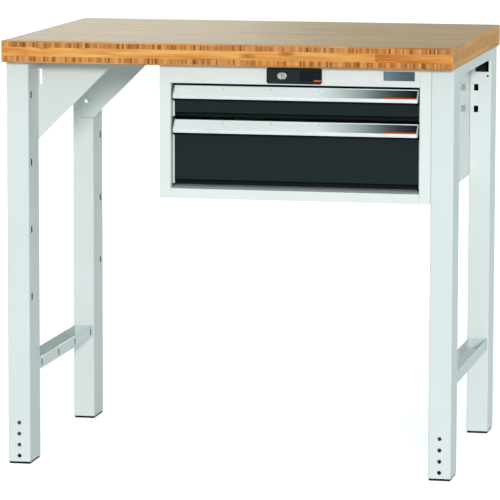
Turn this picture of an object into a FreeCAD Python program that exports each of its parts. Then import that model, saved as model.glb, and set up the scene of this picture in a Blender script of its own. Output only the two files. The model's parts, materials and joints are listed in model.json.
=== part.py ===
import FreeCAD, Part
import math
import os
import re

import Sketcher

# Workbench: layered worktop on two steel leg frames, with a two-drawer cabinet under the right half.
# Millimetres. X runs to the right, Y to the back, Z up. The origin is on the floor under the bench's middle.

# Driving sizes: name, value, what it measures
DRIVING_SIZES = [
    ("bench_depth", 750, "worktop from front edge to back edge"),
    ("bench_height", 948, "floor to working surface with the feet pushed in"),
    ("knee_width", 296, "free width between the left legs and the cabinet"),
    ("top_thick", 48, "worktop thickness"),
    ("top_round", 2.5, "rounding of the worktop's edges"),
    ("side_overhang", 2, "worktop end past the legs' outer faces"),
    ("front_overhang", 35, "worktop edge past the legs' front and rear faces"),
    ("leg_width", 50, "leg across the bench"),
    ("leg_depth", 90, "leg along the depth"),
    ("leg_wall", 2, "sheet of the legs"),
    ("leg_bend", 3, "outer bend radius of a leg's corners"),
    ("slot_width", 10, "hook slot across"),
    ("slot_height", 15, "hook slot height"),
    ("slot_pitch", 150, "hook slot to the next"),
    ("slot_first", 75, "worktop underside to the first hook slot's middle"),
    ("slot_edge", 23, "leg's outward face to the hook slots' middle"),
    ("step_dia", 9, "round holes of the height steps"),
    ("step_pitch", 25, "one height step"),
    ("step_first", 13, "leg's lower end to the first step hole"),
    ("window_width", 31, "window in a leg's inward face"),
    ("window_height", 25, "window height"),
    ("window_drop", 28, "worktop underside to the window's upper edge"),
    ("window_shift", 3, "window's middle outwards of the leg's middle"),
    ("hook_in", 15, "leg's inner side to the middle of the rectangular holes"),
    ("hook_first", 89, "worktop underside to the first rectangular hole's middle"),
    ("hook_pitch", 50, "rectangular hole to the next"),
    ("vent_dia", 5, "small round hole below the window"),
    ("vent_drop", 62.5, "worktop underside to the small round hole"),
    ("vent_out", 16.5, "small round hole outwards of the leg's middle"),
    ("rail_height", 22, "top rail height"),
    ("rail_wall", 2, "sheet of the top rails"),
    ("rail_screw_out", 150, "rail screws in front of and behind the middle"),
    ("bar_lift", 199, "floor to the crossbars' underside"),
    ("bar_height", 26, "crossbar height"),
    ("bar_inset", 2.5, "crossbar side inside the leg's side"),
    ("bar_wall", 2, "sheet of the crossbars"),
    ("pad_thick", 5, "foot pad under the leg"),
    ("pad_inset", 1.3, "foot pad's edge inside the leg's edge"),
    ("pad_spigot", 15, "foot pad's plug up into the foot insert"),
    ("pad_chamfer", 1, "foot pad's lower edge"),
    ("insert_length", 180, "telescopic foot insert"),
    ("insert_wall", 2, "wall of the foot insert"),
    ("insert_play", 0.3, "foot insert to the leg's inside, and spigot to the insert's"),
    ("gusset_length", 180, "gusset along the worktop from the leg"),
    ("gusset_height", 180, "gusset down the leg"),
    ("gusset_sheet", 3, "gusset plate"),
    ("gusset_tab", 31, "gusset's lap on the leg"),
    ("gusset_flange", 34, "gusset's top flange along the depth"),
    ("gusset_trim", 8, "flange end inside the gusset's end"),
    ("gusset_screw", 40, "leg to the first gusset screw, and flange end to the last"),
    ("relief_width", 6, "relief slot beside the leg"),
    ("relief_height", 35, "relief slot height"),
    ("relief_gap", 1.5, "leg's inner side to the relief slot, and rail to the slot"),
    ("tab_gap", 6, "top rail to the gusset's tab"),
    ("screw_dia", 5, "screws into the worktop"),
    ("screw_length", 30, "screw length inside the worktop"),
    ("screw_head_dia", 10, "screw head"),
    ("screw_head_height", 3, "screw head height"),
    ("bolt_dia", 8, "bolts through the legs"),
    ("bolt_length", 18, "bolt under its head"),
    ("bolt_head_dia", 11, "round bolt head"),
    ("bolt_head_height", 4, "bolt head height"),
    ("nut_width", 15, "nut over its corners"),
    ("nut_height", 6.5, "nut height"),
    ("hole_play", 0.25, "hole in a sheet round a screw, bolt or lock"),
    ("thread_play", 0.05, "screw in the worktop and bolt in its nut"),
    ("cab_width", 600, "cabinet across"),
    ("cab_sheet", 1.5, "sheet of the cabinet"),
    ("cab_bend", 1.4, "bend radius of the front posts"),
    ("cab_screw_in", 60, "cabinet side to its screws"),
    ("cab_screw_back", 100, "cabinet front and back to its screws"),
    ("post_width", 25, "front post"),
    ("post_depth", 22, "front post's return, and the fascia's and sill's short returns"),
    ("fascia_height", 40.5, "fascia over the drawers"),
    ("sill_height", 21.5, "sill under the drawers"),
    ("sill_depth", 62, "sill's top return"),
    ("sill_rise", 5.5, "rise of the sill's top return to its rear"),
    ("sill_gap", 9, "sill to the lower front"),
    ("front_gap", 6.5, "gap over each front"),
    ("upper_front", 68.5, "upper drawer front height"),
    ("lower_front", 141, "lower drawer front height"),
    ("front_side_gap", 4.5, "drawer front to the post"),
    ("panel_recess", 20, "drawer front behind the cabinet's front plane"),
    ("panel_sheet", 1.5, "sheet of the drawer fronts"),
    ("bevel_height", 9.5, "set-back foot of a drawer front"),
    ("bevel_rise", 3.5, "slope over the set-back foot"),
    ("bevel_in", 4, "set-back of the foot"),
    ("hem_depth", 16, "hems folded back over and under a drawer front"),
    ("handle_height", 27.5, "handle strip height"),
    ("handle_slope", 17, "handle's top edge behind its lip"),
    ("handle_lip", 8, "handle's lower lip"),
    ("handle_brow", 2, "handle's upper lip"),
    ("handle_wall", 2, "wall of the handle profile"),
    ("handle_back", 8, "handle's lower edge to its back flange"),
    ("label_sink", 1, "label bed behind the lips"),
    ("label_thick", 0.3, "label strip"),
    ("cover_thick", 0.6, "clear cover over the label strip"),
    ("cap_thick", 2.5, "handle end cap"),
    ("tray_sheet", 1.2, "sheet of the trays"),
    ("tray_lift", 2, "tray above the set-back foot of its front"),
    ("tray_drop", 12, "tray rim below the upper edge of its front"),
    ("rear_space", 70, "tray to the cabinet's back"),
    ("runner_thick", 13, "post's inner face to the tray's side"),
    ("runner_height", 46, "fixed rail height"),
    ("runner_wall", 1.5, "sheet of the runner rails"),
    ("runner_play", 0.3, "running gap between two rails"),
    ("runner_gap", 1, "flange tips of a rail to the next rail's web"),
    ("runner_clear", 2, "fixed rail to the tray"),
    ("post_clear", 0.5, "middle rail behind the post's inner face"),
    ("runner_lift", 24, "tray's underside to the rails' middle"),
    ("runner_start", 34, "cabinet's front plane to the rails"),
    ("runner_rear", 96, "rails to the cabinet's rear edge"),
    ("lock_shift", 26.5, "lock left of the cabinet's middle"),
    ("lock_drop", 20.5, "worktop underside to the lock's middle"),
    ("plate_width", 122, "lock plate across"),
    ("plate_height", 35, "lock plate height"),
    ("plate_thick", 3, "lock plate"),
    ("plate_round", 4, "lock plate's corners"),
    ("badge_width", 47, "bare badge panel on the lock plate"),
    ("badge_height", 23, "badge panel height"),
    ("badge_thick", 0.6, "badge panel"),
    ("badge_margin", 1.5, "badge panel to the lock plate's end"),
    ("name_width", 68, "bare name plate"),
    ("name_height", 20, "name plate height"),
    ("name_thick", 1, "name plate"),
    ("name_margin", 36, "name plate to the cabinet's right side"),
    ("name_drop", 17, "worktop underside to the name plate's middle"),
    ("oval_width", 20.5, "lock housing across"),
    ("oval_height", 14.5, "lock housing height"),
    ("oval_proud", 2.5, "lock housing in front of its plate"),
    ("oval_depth", 20, "lock housing behind the fascia's face"),
    ("plug_dia", 10, "lock plug"),
    ("plug_proud", 0.8, "plug in front of its housing"),
    ("plug_tail", 2, "plug behind its housing"),
    ("plug_play", 0.05, "plug in its housing"),
    ("key_width", 1.6, "key slot"),
    ("key_height", 6.5, "key slot height"),
    ("key_depth", 12, "key slot depth"),
    ("rod_dia", 6, "rod from the plug to the cam"),
    ("cam_radius", 8.5, "cam pin from the lock's axis"),
    ("cam_thick", 4, "cam disc"),
    ("cam_rim", 3, "cam disc past its pin"),
    ("pin_dia", 6, "cam pin"),
    ("pin_play", 0.5, "cam pin in the lock bar's slot"),
    ("strip_width", 40, "lock bar across"),
    ("strip_thick", 3, "lock bar and its hooks"),
    ("strip_play", 0.3, "lock bar to its guides, back and cam"),
    ("strip_crown", 6, "lock bar above its slot"),
    ("strip_foot", 50, "cabinet's underside to the lock bar's lower end"),
    ("catch_width", 20, "catch and hook across"),
    ("catch_sheet", 3, "catch plate"),
    ("catch_drop", 13, "tray rim to the catch's underside"),
    ("catch_lip", 12, "catch's and hook's lips"),
    ("catch_length", 55, "catch behind the tray"),
    ("catch_gap", 1, "hook's lip to the catch's lip when locked"),
    ("catch_clear", 2, "hook's lip under the catch's lip when unlocked"),
    ("guide_height", 15, "lock bar guide"),
    ("guide_wall", 2, "lock bar guide's sheet"),
    ("guide_low", 70, "cabinet's underside to the lower guide"),
    ("guide_high", 165, "cabinet's underside to the upper guide"),
]

SLOT_ROWS = 4
BAR_SLOTS = 4
STEP_HOLES = 4
STEPS = 3
HOOK_HOLES = 2
SIDES = {"left": -1, "right": 1}
ENDS = {"front": -1, "rear": 1}

# Places worked out from the driving sizes
BENCH_WIDTH = "(knee_width + cab_width + 2 * leg_width + 2 * side_overhang)"
UNDERSIDE = "(bench_height - top_thick)"
LEG_LONG = "(bench_height - top_thick - pad_thick)"
FRAME_X = f"({BENCH_WIDTH} / 2 - side_overhang)"
FRAME_Y = "(bench_depth / 2 - front_overhang)"
LEG_X = f"({FRAME_X} - leg_width / 2)"
LEG_Y = f"({FRAME_Y} - leg_depth / 2)"
INNER_X = f"({FRAME_X} - leg_width)"
INNER_Y = f"({FRAME_Y} - leg_depth)"
SLOT_Y = f"({FRAME_Y} - slot_edge)"

CAB_TALL = "(fascia_height + 2 * front_gap + upper_front + lower_front + sill_gap + sill_height)"
CAB_DEEP = f"(2 * {FRAME_Y})"
CAB_X = f"({INNER_X} - cab_width / 2)"
CAB_FRONT = f"(-{FRAME_Y})"
CAB_BOTTOM = f"({UNDERSIDE} - {CAB_TALL})"
CAB_INSIDE = "(cab_width / 2 - cab_sheet)"
CAB_BACK = f"({CAB_DEEP} - cab_sheet)"
OPENING = "(cab_width / 2 - post_width)"
FRONT_HALF = f"({OPENING} - front_side_gap)"
TRAY_HALF = f"({OPENING} - runner_thick)"
TRAY_START = "(panel_recess + panel_sheet)"
TRAY_END = f"({CAB_BACK} - rear_space)"
TRAY_LIFT = "(bevel_height + tray_lift)"
RUNNER_LONG = f"({CAB_DEEP} - runner_start - runner_rear)"

LOCK_Z = f"({CAB_TALL} - lock_drop)"
STRIP_BACK = f"({CAB_BACK} - strip_play)"
STRIP_FRONT = f"({STRIP_BACK} - strip_thick)"
PIN_SIDE = "(cam_radius / sqrt(2))"
SLOT_Z = f"({LOCK_Z} - {PIN_SIDE})"

LOWER_Z = "(sill_height + sill_gap)"
DRAWERS = {
    "upper": ("upper_front", f"({LOWER_Z} + lower_front + front_gap)"),
    "lower": ("lower_front", LOWER_Z),
}

doc = FreeCAD.newDocument("Workbench")
sheet = doc.addObject("Spreadsheet::Sheet", "Sizes")
for row, (alias, value, note) in enumerate(DRIVING_SIZES, start=1):
    sheet.set(f"A{row}", note)
    sheet.set(f"B{row}", str(value))
    sheet.setAlias(f"B{row}", alias)
doc.recompute()

aliases = {alias for alias, value, note in DRIVING_SIZES}
subparts = []
cuts = []


def sized(formula):
    """The formula with its size names turned into references to the sheet."""
    return re.sub(r"[a-z_]+", lambda word: f"Sizes.{word[0]}" if word[0] in aliases else word[0], formula)


def number(formula):
    """What the formula comes to now, for a sketch's first layout."""
    return float(sheet.evalExpression(sized(formula)))


def bind(thing, **formulas):
    """Ties properties of a thing to formulas of the sheet's sizes."""
    for name, formula in formulas.items():
        thing.setExpression(name, sized(formula))


def place(thing, x, y, z):
    """Ties a thing's place to formulas."""
    for axis, formula in zip("xyz", (x, y, z)):
        thing.setExpression(f"Placement.Base.{axis}", sized(formula))


def keep(thing, label):
    """Makes a thing one of the bench's sub-parts."""
    thing.Label = label
    subparts.append(thing)


def new_body(label, x, y, z, kept=True):
    """A body at its place; one that belongs to a group isn't kept by itself."""
    body = doc.addObject("PartDesign::Body", label)
    place(body, x, y, z)
    if kept:
        keep(body, label)
    return body


def cabinet_body(label, x="0", y="0", z="0", kept=True):
    """A body whose own frame starts at the cabinet's middle, front plane and underside."""
    return new_body(label, f"{CAB_X} + ({x})", f"{CAB_FRONT} + ({y})", f"{CAB_BOTTOM} + ({z})", kept)


def sketch_on(body, plane, lift="0"):
    """A sketch on one of the body's own planes, lifted off it along the plane's normal."""
    sketch = body.newObject("Sketcher::SketchObject", f"{body.Name}_sketch")
    support = next(feature for feature in body.Origin.OriginFeatures if feature.Role == plane)
    sketch.AttachmentSupport = [(support, "")]
    sketch.MapMode = "FlatFace"
    if lift != "0":
        sketch.setExpression("AttachmentOffset.Base.z", sized(lift))
    return sketch


def pin_point(sketch, geometry, vertex, across, up):
    """Holds a point of a sketch at two formulas."""
    for kind, formula in (("DistanceX", across), ("DistanceY", up)):
        constraint = Sketcher.Constraint(kind, -1, 1, geometry, vertex, number(formula))
        index = sketch.addConstraint(constraint)
        sketch.setExpression(f"Constraints[{index}]", sized(formula))


def outline(sketch, corners):
    """A closed outline of straight lines, each corner held at its two formulas."""
    spots = [FreeCAD.Vector(number(across), number(up), 0) for across, up in corners]
    first = sketch.GeometryCount
    count = len(corners)
    for index, spot in enumerate(spots):
        sketch.addGeometry(Part.LineSegment(spot, spots[(index + 1) % count]))
    for index in range(count):
        following = first + (index + 1) % count
        sketch.addConstraint(Sketcher.Constraint("Coincident", first + index, 2, following, 1))
    for index, (across, up) in enumerate(corners):
        pin_point(sketch, first + index, 1, across, up)


def rectangle(sketch, left, right, low, high):
    """A rectangle between four formulas."""
    outline(sketch, [(left, low), (right, low), (right, high), (left, high)])


def middle_rectangle(sketch, across, up, wide, tall):
    """A rectangle about its middle."""
    rectangle(sketch, f"{across} - {wide} / 2", f"{across} + {wide} / 2", f"{up} - {tall} / 2",
              f"{up} + {tall} / 2")


def circle(sketch, across, up, diameter):
    """A circle held at its middle, with its diameter."""
    middle = FreeCAD.Vector(number(across), number(up), 0)
    index = sketch.addGeometry(Part.Circle(middle, FreeCAD.Vector(0, 0, 1), number(diameter) / 2))
    pin_point(sketch, index, 3, across, up)
    constraint = sketch.addConstraint(Sketcher.Constraint("Diameter", index, number(diameter)))
    sketch.setExpression(f"Constraints[{constraint}]", sized(diameter))


def oval(sketch, across, up, wide, tall):
    """Two half circles joined by two level lines."""
    radius = number(tall) / 2
    reach = f"({wide} - {tall}) / 2"
    ends = [f"{across} - {reach}", f"{across} + {reach}"]
    left, right = (FreeCAD.Vector(number(end), number(up), 0) for end in ends)
    rise = FreeCAD.Vector(0, radius, 0)
    normal = FreeCAD.Vector(0, 0, 1)
    quarter = math.pi / 2
    first = sketch.GeometryCount
    sketch.addGeometry(Part.ArcOfCircle(Part.Circle(left, normal, radius), quarter, 3 * quarter))
    sketch.addGeometry(Part.ArcOfCircle(Part.Circle(right, normal, radius), -quarter, quarter))
    sketch.addGeometry(Part.LineSegment(left + rise, right + rise))
    sketch.addGeometry(Part.LineSegment(left - rise, right - rise))
    arc_left, arc_right, line_top, line_low = range(first, first + 4)
    joints = [(arc_left, 1, line_top, 1), (arc_left, 2, line_low, 1),
              (arc_right, 2, line_top, 2), (arc_right, 1, line_low, 2)]
    for joint in joints:
        sketch.addConstraint(Sketcher.Constraint("Tangent", *joint))
    sketch.addConstraint(Sketcher.Constraint("Equal", arc_left, arc_right))
    index = sketch.addConstraint(Sketcher.Constraint("Radius", arc_left, radius))
    sketch.setExpression(f"Constraints[{index}]", sized(f"({tall}) / 2"))
    pin_point(sketch, arc_left, 3, ends[0], up)
    pin_point(sketch, arc_right, 3, ends[1], up)


def pad(body, sketch, length, backwards=False):
    """Material on a sketch, along its normal or the other way."""
    feature = body.newObject("PartDesign::Pad", f"{body.Name}_pad")
    feature.Profile = sketch
    bind(feature, Length=length)
    feature.Reversed = backwards
    return feature


def pocket(body, sketch, length=None, forwards=False):
    """A cut from a sketch against its normal or along it, right through if it has no length."""
    before = body.Tip
    feature = body.newObject("PartDesign::Pocket", f"{body.Name}_pocket")
    feature.Profile = sketch
    if length is None:
        feature.Type = "ThroughAll"
    else:
        bind(feature, Length=length)
    feature.Reversed = forwards
    cuts.append((before, feature))
    return feature


def upright(edge):
    """True for an edge along Z."""
    box = edge.BoundBox
    return max(box.XLength, box.YLength) < 0.001


def level(edge):
    """True for an edge along Y."""
    box = edge.BoundBox
    return max(box.XLength, box.ZLength) < 0.001


def soften(body, kind, chosen, **size):
    """A fillet or chamfer on the chosen edges of what the body is so far."""
    doc.recompute()
    base = body.Tip
    names = [f"Edge{index}" for index, edge in enumerate(base.Shape.Edges, start=1) if chosen(edge)]
    feature = body.newObject(f"PartDesign::{kind}", f"{body.Name}_{kind.lower()}")
    feature.Base = (base, names)
    bind(feature, **size)


def box(label, left, right, front, back, low, high, kept=True):
    """A rectangular block between six formulas."""
    block = doc.addObject("Part::Box", label)
    bind(block, Length=f"{right} - ({left})", Width=f"{back} - ({front})", Height=f"{high} - ({low})")
    place(block, left, front, low)
    if kept:
        keep(block, label)
    return block


def cabinet_box(label, left, right, front, back, low, high, kept=True):
    """A block in the cabinet's frame."""
    return box(label, f"{CAB_X} + ({left})", f"{CAB_X} + ({right})", f"{CAB_FRONT} + ({front})",
               f"{CAB_FRONT} + ({back})", f"{CAB_BOTTOM} + ({low})", f"{CAB_BOTTOM} + ({high})", kept)


def group(label, pieces):
    """Like pieces kept together as one sub-part."""
    compound = doc.addObject("Part::Compound", label)
    compound.Links = pieces
    keep(compound, label)


def cylinder(name, x, y, z, turn, diameter, long):
    """A round piece from a point along a turned axis."""
    piece = doc.addObject("Part::Cylinder", name)
    bind(piece, Radius=f"({diameter}) / 2", Height=long)
    piece.Placement = FreeCAD.Placement(FreeCAD.Vector(), turn)
    place(piece, x, y, z)
    return piece


def joined(name, first, second):
    """Two overlapping pieces made one."""
    fuse = doc.addObject("Part::Fuse", name)
    fuse.Base = first
    fuse.Tool = second
    return fuse


def less(name, whole, hole):
    """A piece with another one taken out of it."""
    cut = doc.addObject("Part::Cut", name)
    cut.Base = whole
    cut.Tool = hole
    cuts.append((whole, cut))
    return cut


UP = FreeCAD.Rotation()
TO_RIGHT = FreeCAD.Rotation(FreeCAD.Vector(0, 1, 0), 90)
TO_FRONT = FreeCAD.Rotation(FreeCAD.Vector(1, 0, 0), 90)
TO_BACK = FreeCAD.Rotation(FreeCAD.Vector(1, 0, 0), -90)

# Screws up into the worktop: across, along the depth, and the sheet that each one holds
flange_y = f"({INNER_Y} - (gusset_flange + gusset_sheet) / 2)"
gusset_screws = ["gusset_screw", "(gusset_length - gusset_screw)"]
rail_screws = ["-rail_screw_out", "rail_screw_out"]
cabinet_screws = [(f"({across})", f"({along})")
                  for across in ("cab_screw_in - cab_width / 2", "cab_width / 2 - cab_screw_in")
                  for along in ("cab_screw_back", f"{CAB_DEEP} - cab_screw_back")]
worktop_screws = [(f"{side} * {LEG_X}", along, "rail_wall")
                  for side in SIDES.values() for along in rail_screws]
worktop_screws += [(f"{across} - {INNER_X}", f"{end} * {flange_y}", "gusset_sheet")
                   for end in ENDS.values() for across in gusset_screws]
worktop_screws += [(f"{CAB_X} + {across}", f"{CAB_FRONT} + {along}", "cab_sheet")
                   for across, along in cabinet_screws]

# Worktop, one thick board with softened edges and screw holes in its underside
worktop = new_body("worktop", "0", "0", UNDERSIDE)
sketch = sketch_on(worktop, "XY_Plane")
middle_rectangle(sketch, "0", "0", BENCH_WIDTH, "bench_depth")
pad(worktop, sketch, "top_thick")
soften(worktop, "Fillet", lambda edge: True, Radius="top_round")
sketch = sketch_on(worktop, "XY_Plane")
for across, along, held in worktop_screws:
    circle(sketch, across, along, "screw_dia + 2 * thread_play")
pocket(worktop, sketch, "screw_length", forwards=True)

screws = []
for index, (across, along, held) in enumerate(worktop_screws):
    under = f"{UNDERSIDE} - {held}"
    head = cylinder(f"screw_head_{index}", across, along, f"{under} - screw_head_height", UP,
                    "screw_head_dia", "screw_head_height")
    shank = cylinder(f"screw_shank_{index}", across, along, under, UP, "screw_dia", f"{held} + screw_length")
    screws.append(joined(f"worktop_screw_{index}", head, shank))
group("worktop_screws", screws)


def leg(name, side, end):
    """A folded tube with hook slots, height steps, a window and rectangular holes."""
    body = new_body(f"leg_{name}", f"{side} * {LEG_X}", f"{end} * {LEG_Y}", "pad_thick")
    sketch = sketch_on(body, "XY_Plane")
    middle_rectangle(sketch, "0", "0", "leg_width", "leg_depth")
    pad(body, sketch, LEG_LONG)
    soften(body, "Fillet", upright, Radius="leg_bend")
    sketch = sketch_on(body, "XY_Plane")
    middle_rectangle(sketch, "0", "0", "(leg_width - 2 * leg_wall)", "(leg_depth - 2 * leg_wall)")
    pocket(body, sketch, forwards=True)
    sketch = sketch_on(body, "YZ_Plane")
    for row in range(SLOT_ROWS):
        height = f"{LEG_LONG} - slot_first - {row} * slot_pitch"
        middle_rectangle(sketch, f"{end} * (leg_depth / 2 - slot_edge)", height, "slot_width", "slot_height")
    pocket(body, sketch, forwards=side < 0)
    sketch = sketch_on(body, "XZ_Plane")
    for row in range(STEP_HOLES):
        circle(sketch, "0", f"step_first + {row} * step_pitch", "step_dia")
    pocket(body, sketch, forwards=end < 0)
    sketch = sketch_on(body, "XZ_Plane")
    window_middle = f"{LEG_LONG} - window_drop - window_height / 2"
    middle_rectangle(sketch, f"{side} * window_shift", window_middle, "window_width", "window_height")
    for row in range(HOOK_HOLES):
        height = f"{LEG_LONG} - hook_first - {row} * hook_pitch"
        middle_rectangle(sketch, f"{-side} * (leg_width / 2 - hook_in)", height, "slot_width", "slot_height")
    circle(sketch, f"{side} * vent_out", f"{LEG_LONG} - vent_drop", "vent_dia")
    pocket(body, sketch, forwards=end > 0)


def foot(name, side, end):
    """A tube that slides in the leg, with the same step holes, on a plugged-in plastic pad."""
    insert_width = "(leg_width - 2 * leg_wall - 2 * insert_play)"
    insert_depth = "(leg_depth - 2 * leg_wall - 2 * insert_play)"
    inside = "2 * insert_wall"
    body = new_body(f"foot_insert_{name}", f"{side} * {LEG_X}", f"{end} * {LEG_Y}", "pad_thick")
    sketch = sketch_on(body, "XY_Plane")
    middle_rectangle(sketch, "0", "0", insert_width, insert_depth)
    middle_rectangle(sketch, "0", "0", f"({insert_width} - {inside})", f"({insert_depth} - {inside})")
    pad(body, sketch, "insert_length")
    sketch = sketch_on(body, "XZ_Plane")
    for row in range(STEP_HOLES + STEPS):
        circle(sketch, "0", f"step_first + {row} * step_pitch", "step_dia")
    pocket(body, sketch, forwards=end < 0)

    loose = f"({inside} + 2 * insert_play)"
    body = new_body(f"foot_pad_{name}", f"{side} * {LEG_X}", f"{end} * {LEG_Y}", "0")
    sketch = sketch_on(body, "XY_Plane")
    middle_rectangle(sketch, "0", "0", "(leg_width - 2 * pad_inset)", "(leg_depth - 2 * pad_inset)")
    pad(body, sketch, "pad_thick")
    soften(body, "Chamfer", lambda edge: edge.BoundBox.ZMax < 0.001, Size="pad_chamfer")
    sketch = sketch_on(body, "XY_Plane", "pad_thick")
    middle_rectangle(sketch, "0", "0", f"({insert_width} - {loose})", f"({insert_depth} - {loose})")
    pad(body, sketch, "pad_spigot")


for end_name, end in ENDS.items():
    for side_name, side in SIDES.items():
        leg(f"{end_name}_{side_name}", side, end)
        foot(f"{end_name}_{side_name}", side, end)


def top_rail(name, side):
    """A channel under the worktop, open below, welded between a front and a rear leg."""
    body = new_body(f"top_rail_{name}", f"{side} * {LEG_X}", f"-{INNER_Y}", UNDERSIDE)
    sketch = sketch_on(body, "XZ_Plane")
    half = "leg_width / 2"
    inner = "leg_width / 2 - rail_wall"
    outline(sketch, [(f"-{half}", "0"), (f"-{half}", "-rail_height"), (f"-({inner})", "-rail_height"),
                     (f"-({inner})", "-rail_wall"), (inner, "-rail_wall"), (inner, "-rail_height"),
                     (half, "-rail_height"), (half, "0")])
    pad(body, sketch, f"2 * {INNER_Y}", backwards=True)
    sketch = sketch_on(body, "XY_Plane")
    for along in rail_screws:
        circle(sketch, "0", f"{INNER_Y} + {along}", "screw_dia + 2 * hole_play")
    pocket(body, sketch)


def crossbar(name, side):
    """A trough between a front and a rear leg, with hook slots in its inner wall."""
    body = new_body(f"crossbar_{name}", f"{side} * {LEG_X}", "0", "bar_lift")
    sketch = sketch_on(body, "XY_Plane")
    middle_rectangle(sketch, "0", "0", "(leg_width - 2 * bar_inset)", f"(2 * {INNER_Y})")
    pad(body, sketch, "bar_height")
    sketch = sketch_on(body, "XY_Plane", "bar_wall")
    middle_rectangle(sketch, "0", "0", "(leg_width - 2 * bar_inset - 2 * bar_wall)",
                     f"(2 * {INNER_Y} - 2 * bar_wall)")
    pocket(body, sketch, forwards=True)
    sketch = sketch_on(body, "YZ_Plane")
    for row in range(BAR_SLOTS):
        along = f"({row} - {(BAR_SLOTS - 1) / 2}) * slot_pitch"
        middle_rectangle(sketch, along, "bar_height / 2", "slot_width", "slot_height")
    pocket(body, sketch, forwards=side < 0)


for side_name, side in SIDES.items():
    top_rail(side_name, side)
    crossbar(side_name, side)


def gusset(name, end):
    """A three-cornered plate lapped on a left leg, with a flange under the worktop and a relief slot."""
    front = end < 0
    body = new_body(f"gusset_{name}", f"-{INNER_X}", f"{end} * {INNER_Y}", UNDERSIDE)
    sketch = sketch_on(body, "XZ_Plane")
    tab_top = "-(rail_height + tab_gap)"
    outline(sketch, [("0", "0"), ("gusset_length", "0"), ("0", "-gusset_height"),
                     ("-gusset_tab", "-gusset_height"), ("-gusset_tab", tab_top), ("0", tab_top)])
    pad(body, sketch, "gusset_sheet", backwards=front)
    sketch = sketch_on(body, "XZ_Plane")
    rectangle(sketch, "gusset_trim", "gusset_length - gusset_trim", "-gusset_sheet", "0")
    pad(body, sketch, "gusset_flange", backwards=front)
    sketch = sketch_on(body, "XZ_Plane")
    relief_top = "-(rail_height + relief_gap)"
    rectangle(sketch, "relief_gap", "relief_gap + relief_width", f"{relief_top} - relief_height", relief_top)
    circle(sketch, "-hook_in", f"-(hook_first + {HOOK_HOLES - 1} * hook_pitch)", "bolt_dia + 2 * hole_play")
    pocket(body, sketch, "gusset_sheet", forwards=not front)
    sketch = sketch_on(body, "XY_Plane")
    for across in gusset_screws:
        circle(sketch, across, f"{-end} * (gusset_flange + gusset_sheet) / 2", "screw_dia + 2 * hole_play")
    pocket(body, sketch, "gusset_sheet")


nuts = []


def bolt(name, head_from, shank_from, nut_from, turn):
    """A round-headed bolt; its nut inside the leg joins the other nuts."""
    head = cylinder(f"{name}_head", *head_from, turn, "bolt_head_dia", "bolt_head_height")
    shank = cylinder(f"{name}_shank", *shank_from, turn, "bolt_dia", "bolt_length")
    nut = doc.addObject("Part::Prism", f"{name}_nut")
    nut.Polygon = 6
    bind(nut, Circumradius="nut_width / 2", Height="nut_height")
    nut.Placement = FreeCAD.Placement(FreeCAD.Vector(), turn)
    place(nut, *nut_from)
    thread = cylinder(f"{name}_thread", *nut_from, turn, "bolt_dia + 2 * thread_play", "nut_height")
    nuts.append(less(f"{name}_nut_cut", nut, thread))
    return joined(name, head, shank)


gusset_bolts = []
for end_name, end in ENDS.items():
    gusset(end_name, end)
    across = f"-{INNER_X} - hook_in"
    height = f"{UNDERSIDE} - hook_first - {HOOK_HOLES - 1} * hook_pitch"
    gusset_bolts.append(bolt(f"gusset_bolt_{end_name}",
                             (across, f"{end} * ({INNER_Y} - gusset_sheet - bolt_head_height)", height),
                             (across, f"{end} * ({INNER_Y} - gusset_sheet)", height),
                             (across, f"{end} * ({INNER_Y} + leg_wall)", height),
                             TO_FRONT if end < 0 else TO_BACK))
group("gusset_bolts", gusset_bolts)


def cabinet_side(name, side):
    """A side sheet folded round into the front post; the right one is bolted to the legs' top slots."""
    body = cabinet_body(f"cabinet_side_{name}")
    sketch = sketch_on(body, "XY_Plane")
    outer = f"{side} * cab_width / 2"
    inner = f"{side} * {CAB_INSIDE}"
    post = f"{side} * {OPENING}"
    fold = f"{side} * ({OPENING} + cab_sheet)"
    outline(sketch, [(outer, "0"), (post, "0"), (post, "post_depth"), (fold, "post_depth"),
                     (fold, "cab_sheet"), (inner, "cab_sheet"), (inner, CAB_DEEP), (outer, CAB_DEEP)])
    pad(body, sketch, CAB_TALL)
    soften(body, "Fillet", lambda edge: upright(edge) and edge.BoundBox.YMax < 0.001, Radius="cab_bend")
    if side > 0:
        sketch = sketch_on(body, "YZ_Plane", inner)
        for along, height in bolt_places:
            circle(sketch, f"{along} - {CAB_FRONT}", f"{height} - {CAB_BOTTOM}", "bolt_dia + 2 * hole_play")
        pocket(body, sketch, "cab_sheet", forwards=True)


bolt_places = [(f"{end} * {SLOT_Y}", f"{UNDERSIDE} - slot_first - {row} * slot_pitch")
               for end in ENDS.values() for row in range(2)]
cabinet_bolts = []
for index, (along, height) in enumerate(bolt_places):
    inside = f"{INNER_X} - cab_sheet"
    cabinet_bolts.append(bolt(f"cabinet_bolt_{index}", (f"{inside} - bolt_head_height", along, height),
                              (inside, along, height), (f"{INNER_X} + leg_wall", along, height), TO_RIGHT))
group("cabinet_bolts", cabinet_bolts)
group("leg_nuts", nuts)

for side_name, side in SIDES.items():
    cabinet_side(side_name, side)

# Cabinet top with its screw holes, floor and back
cabinet_top = cabinet_body("cabinet_top", z=f"({CAB_TALL} - cab_sheet)")
sketch = sketch_on(cabinet_top, "XY_Plane")
rectangle(sketch, f"-{CAB_INSIDE}", CAB_INSIDE, "post_depth", CAB_BACK)
for across, along in cabinet_screws:
    circle(sketch, across, along, "screw_dia + 2 * hole_play")
pad(cabinet_top, sketch, "cab_sheet")
cabinet_box("cabinet_floor", f"-{CAB_INSIDE}", CAB_INSIDE, "post_depth", CAB_BACK, "0", "cab_sheet")
cabinet_box("cabinet_back", f"-{CAB_INSIDE}", CAB_INSIDE, CAB_BACK, CAB_DEEP, "0", CAB_TALL)

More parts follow.
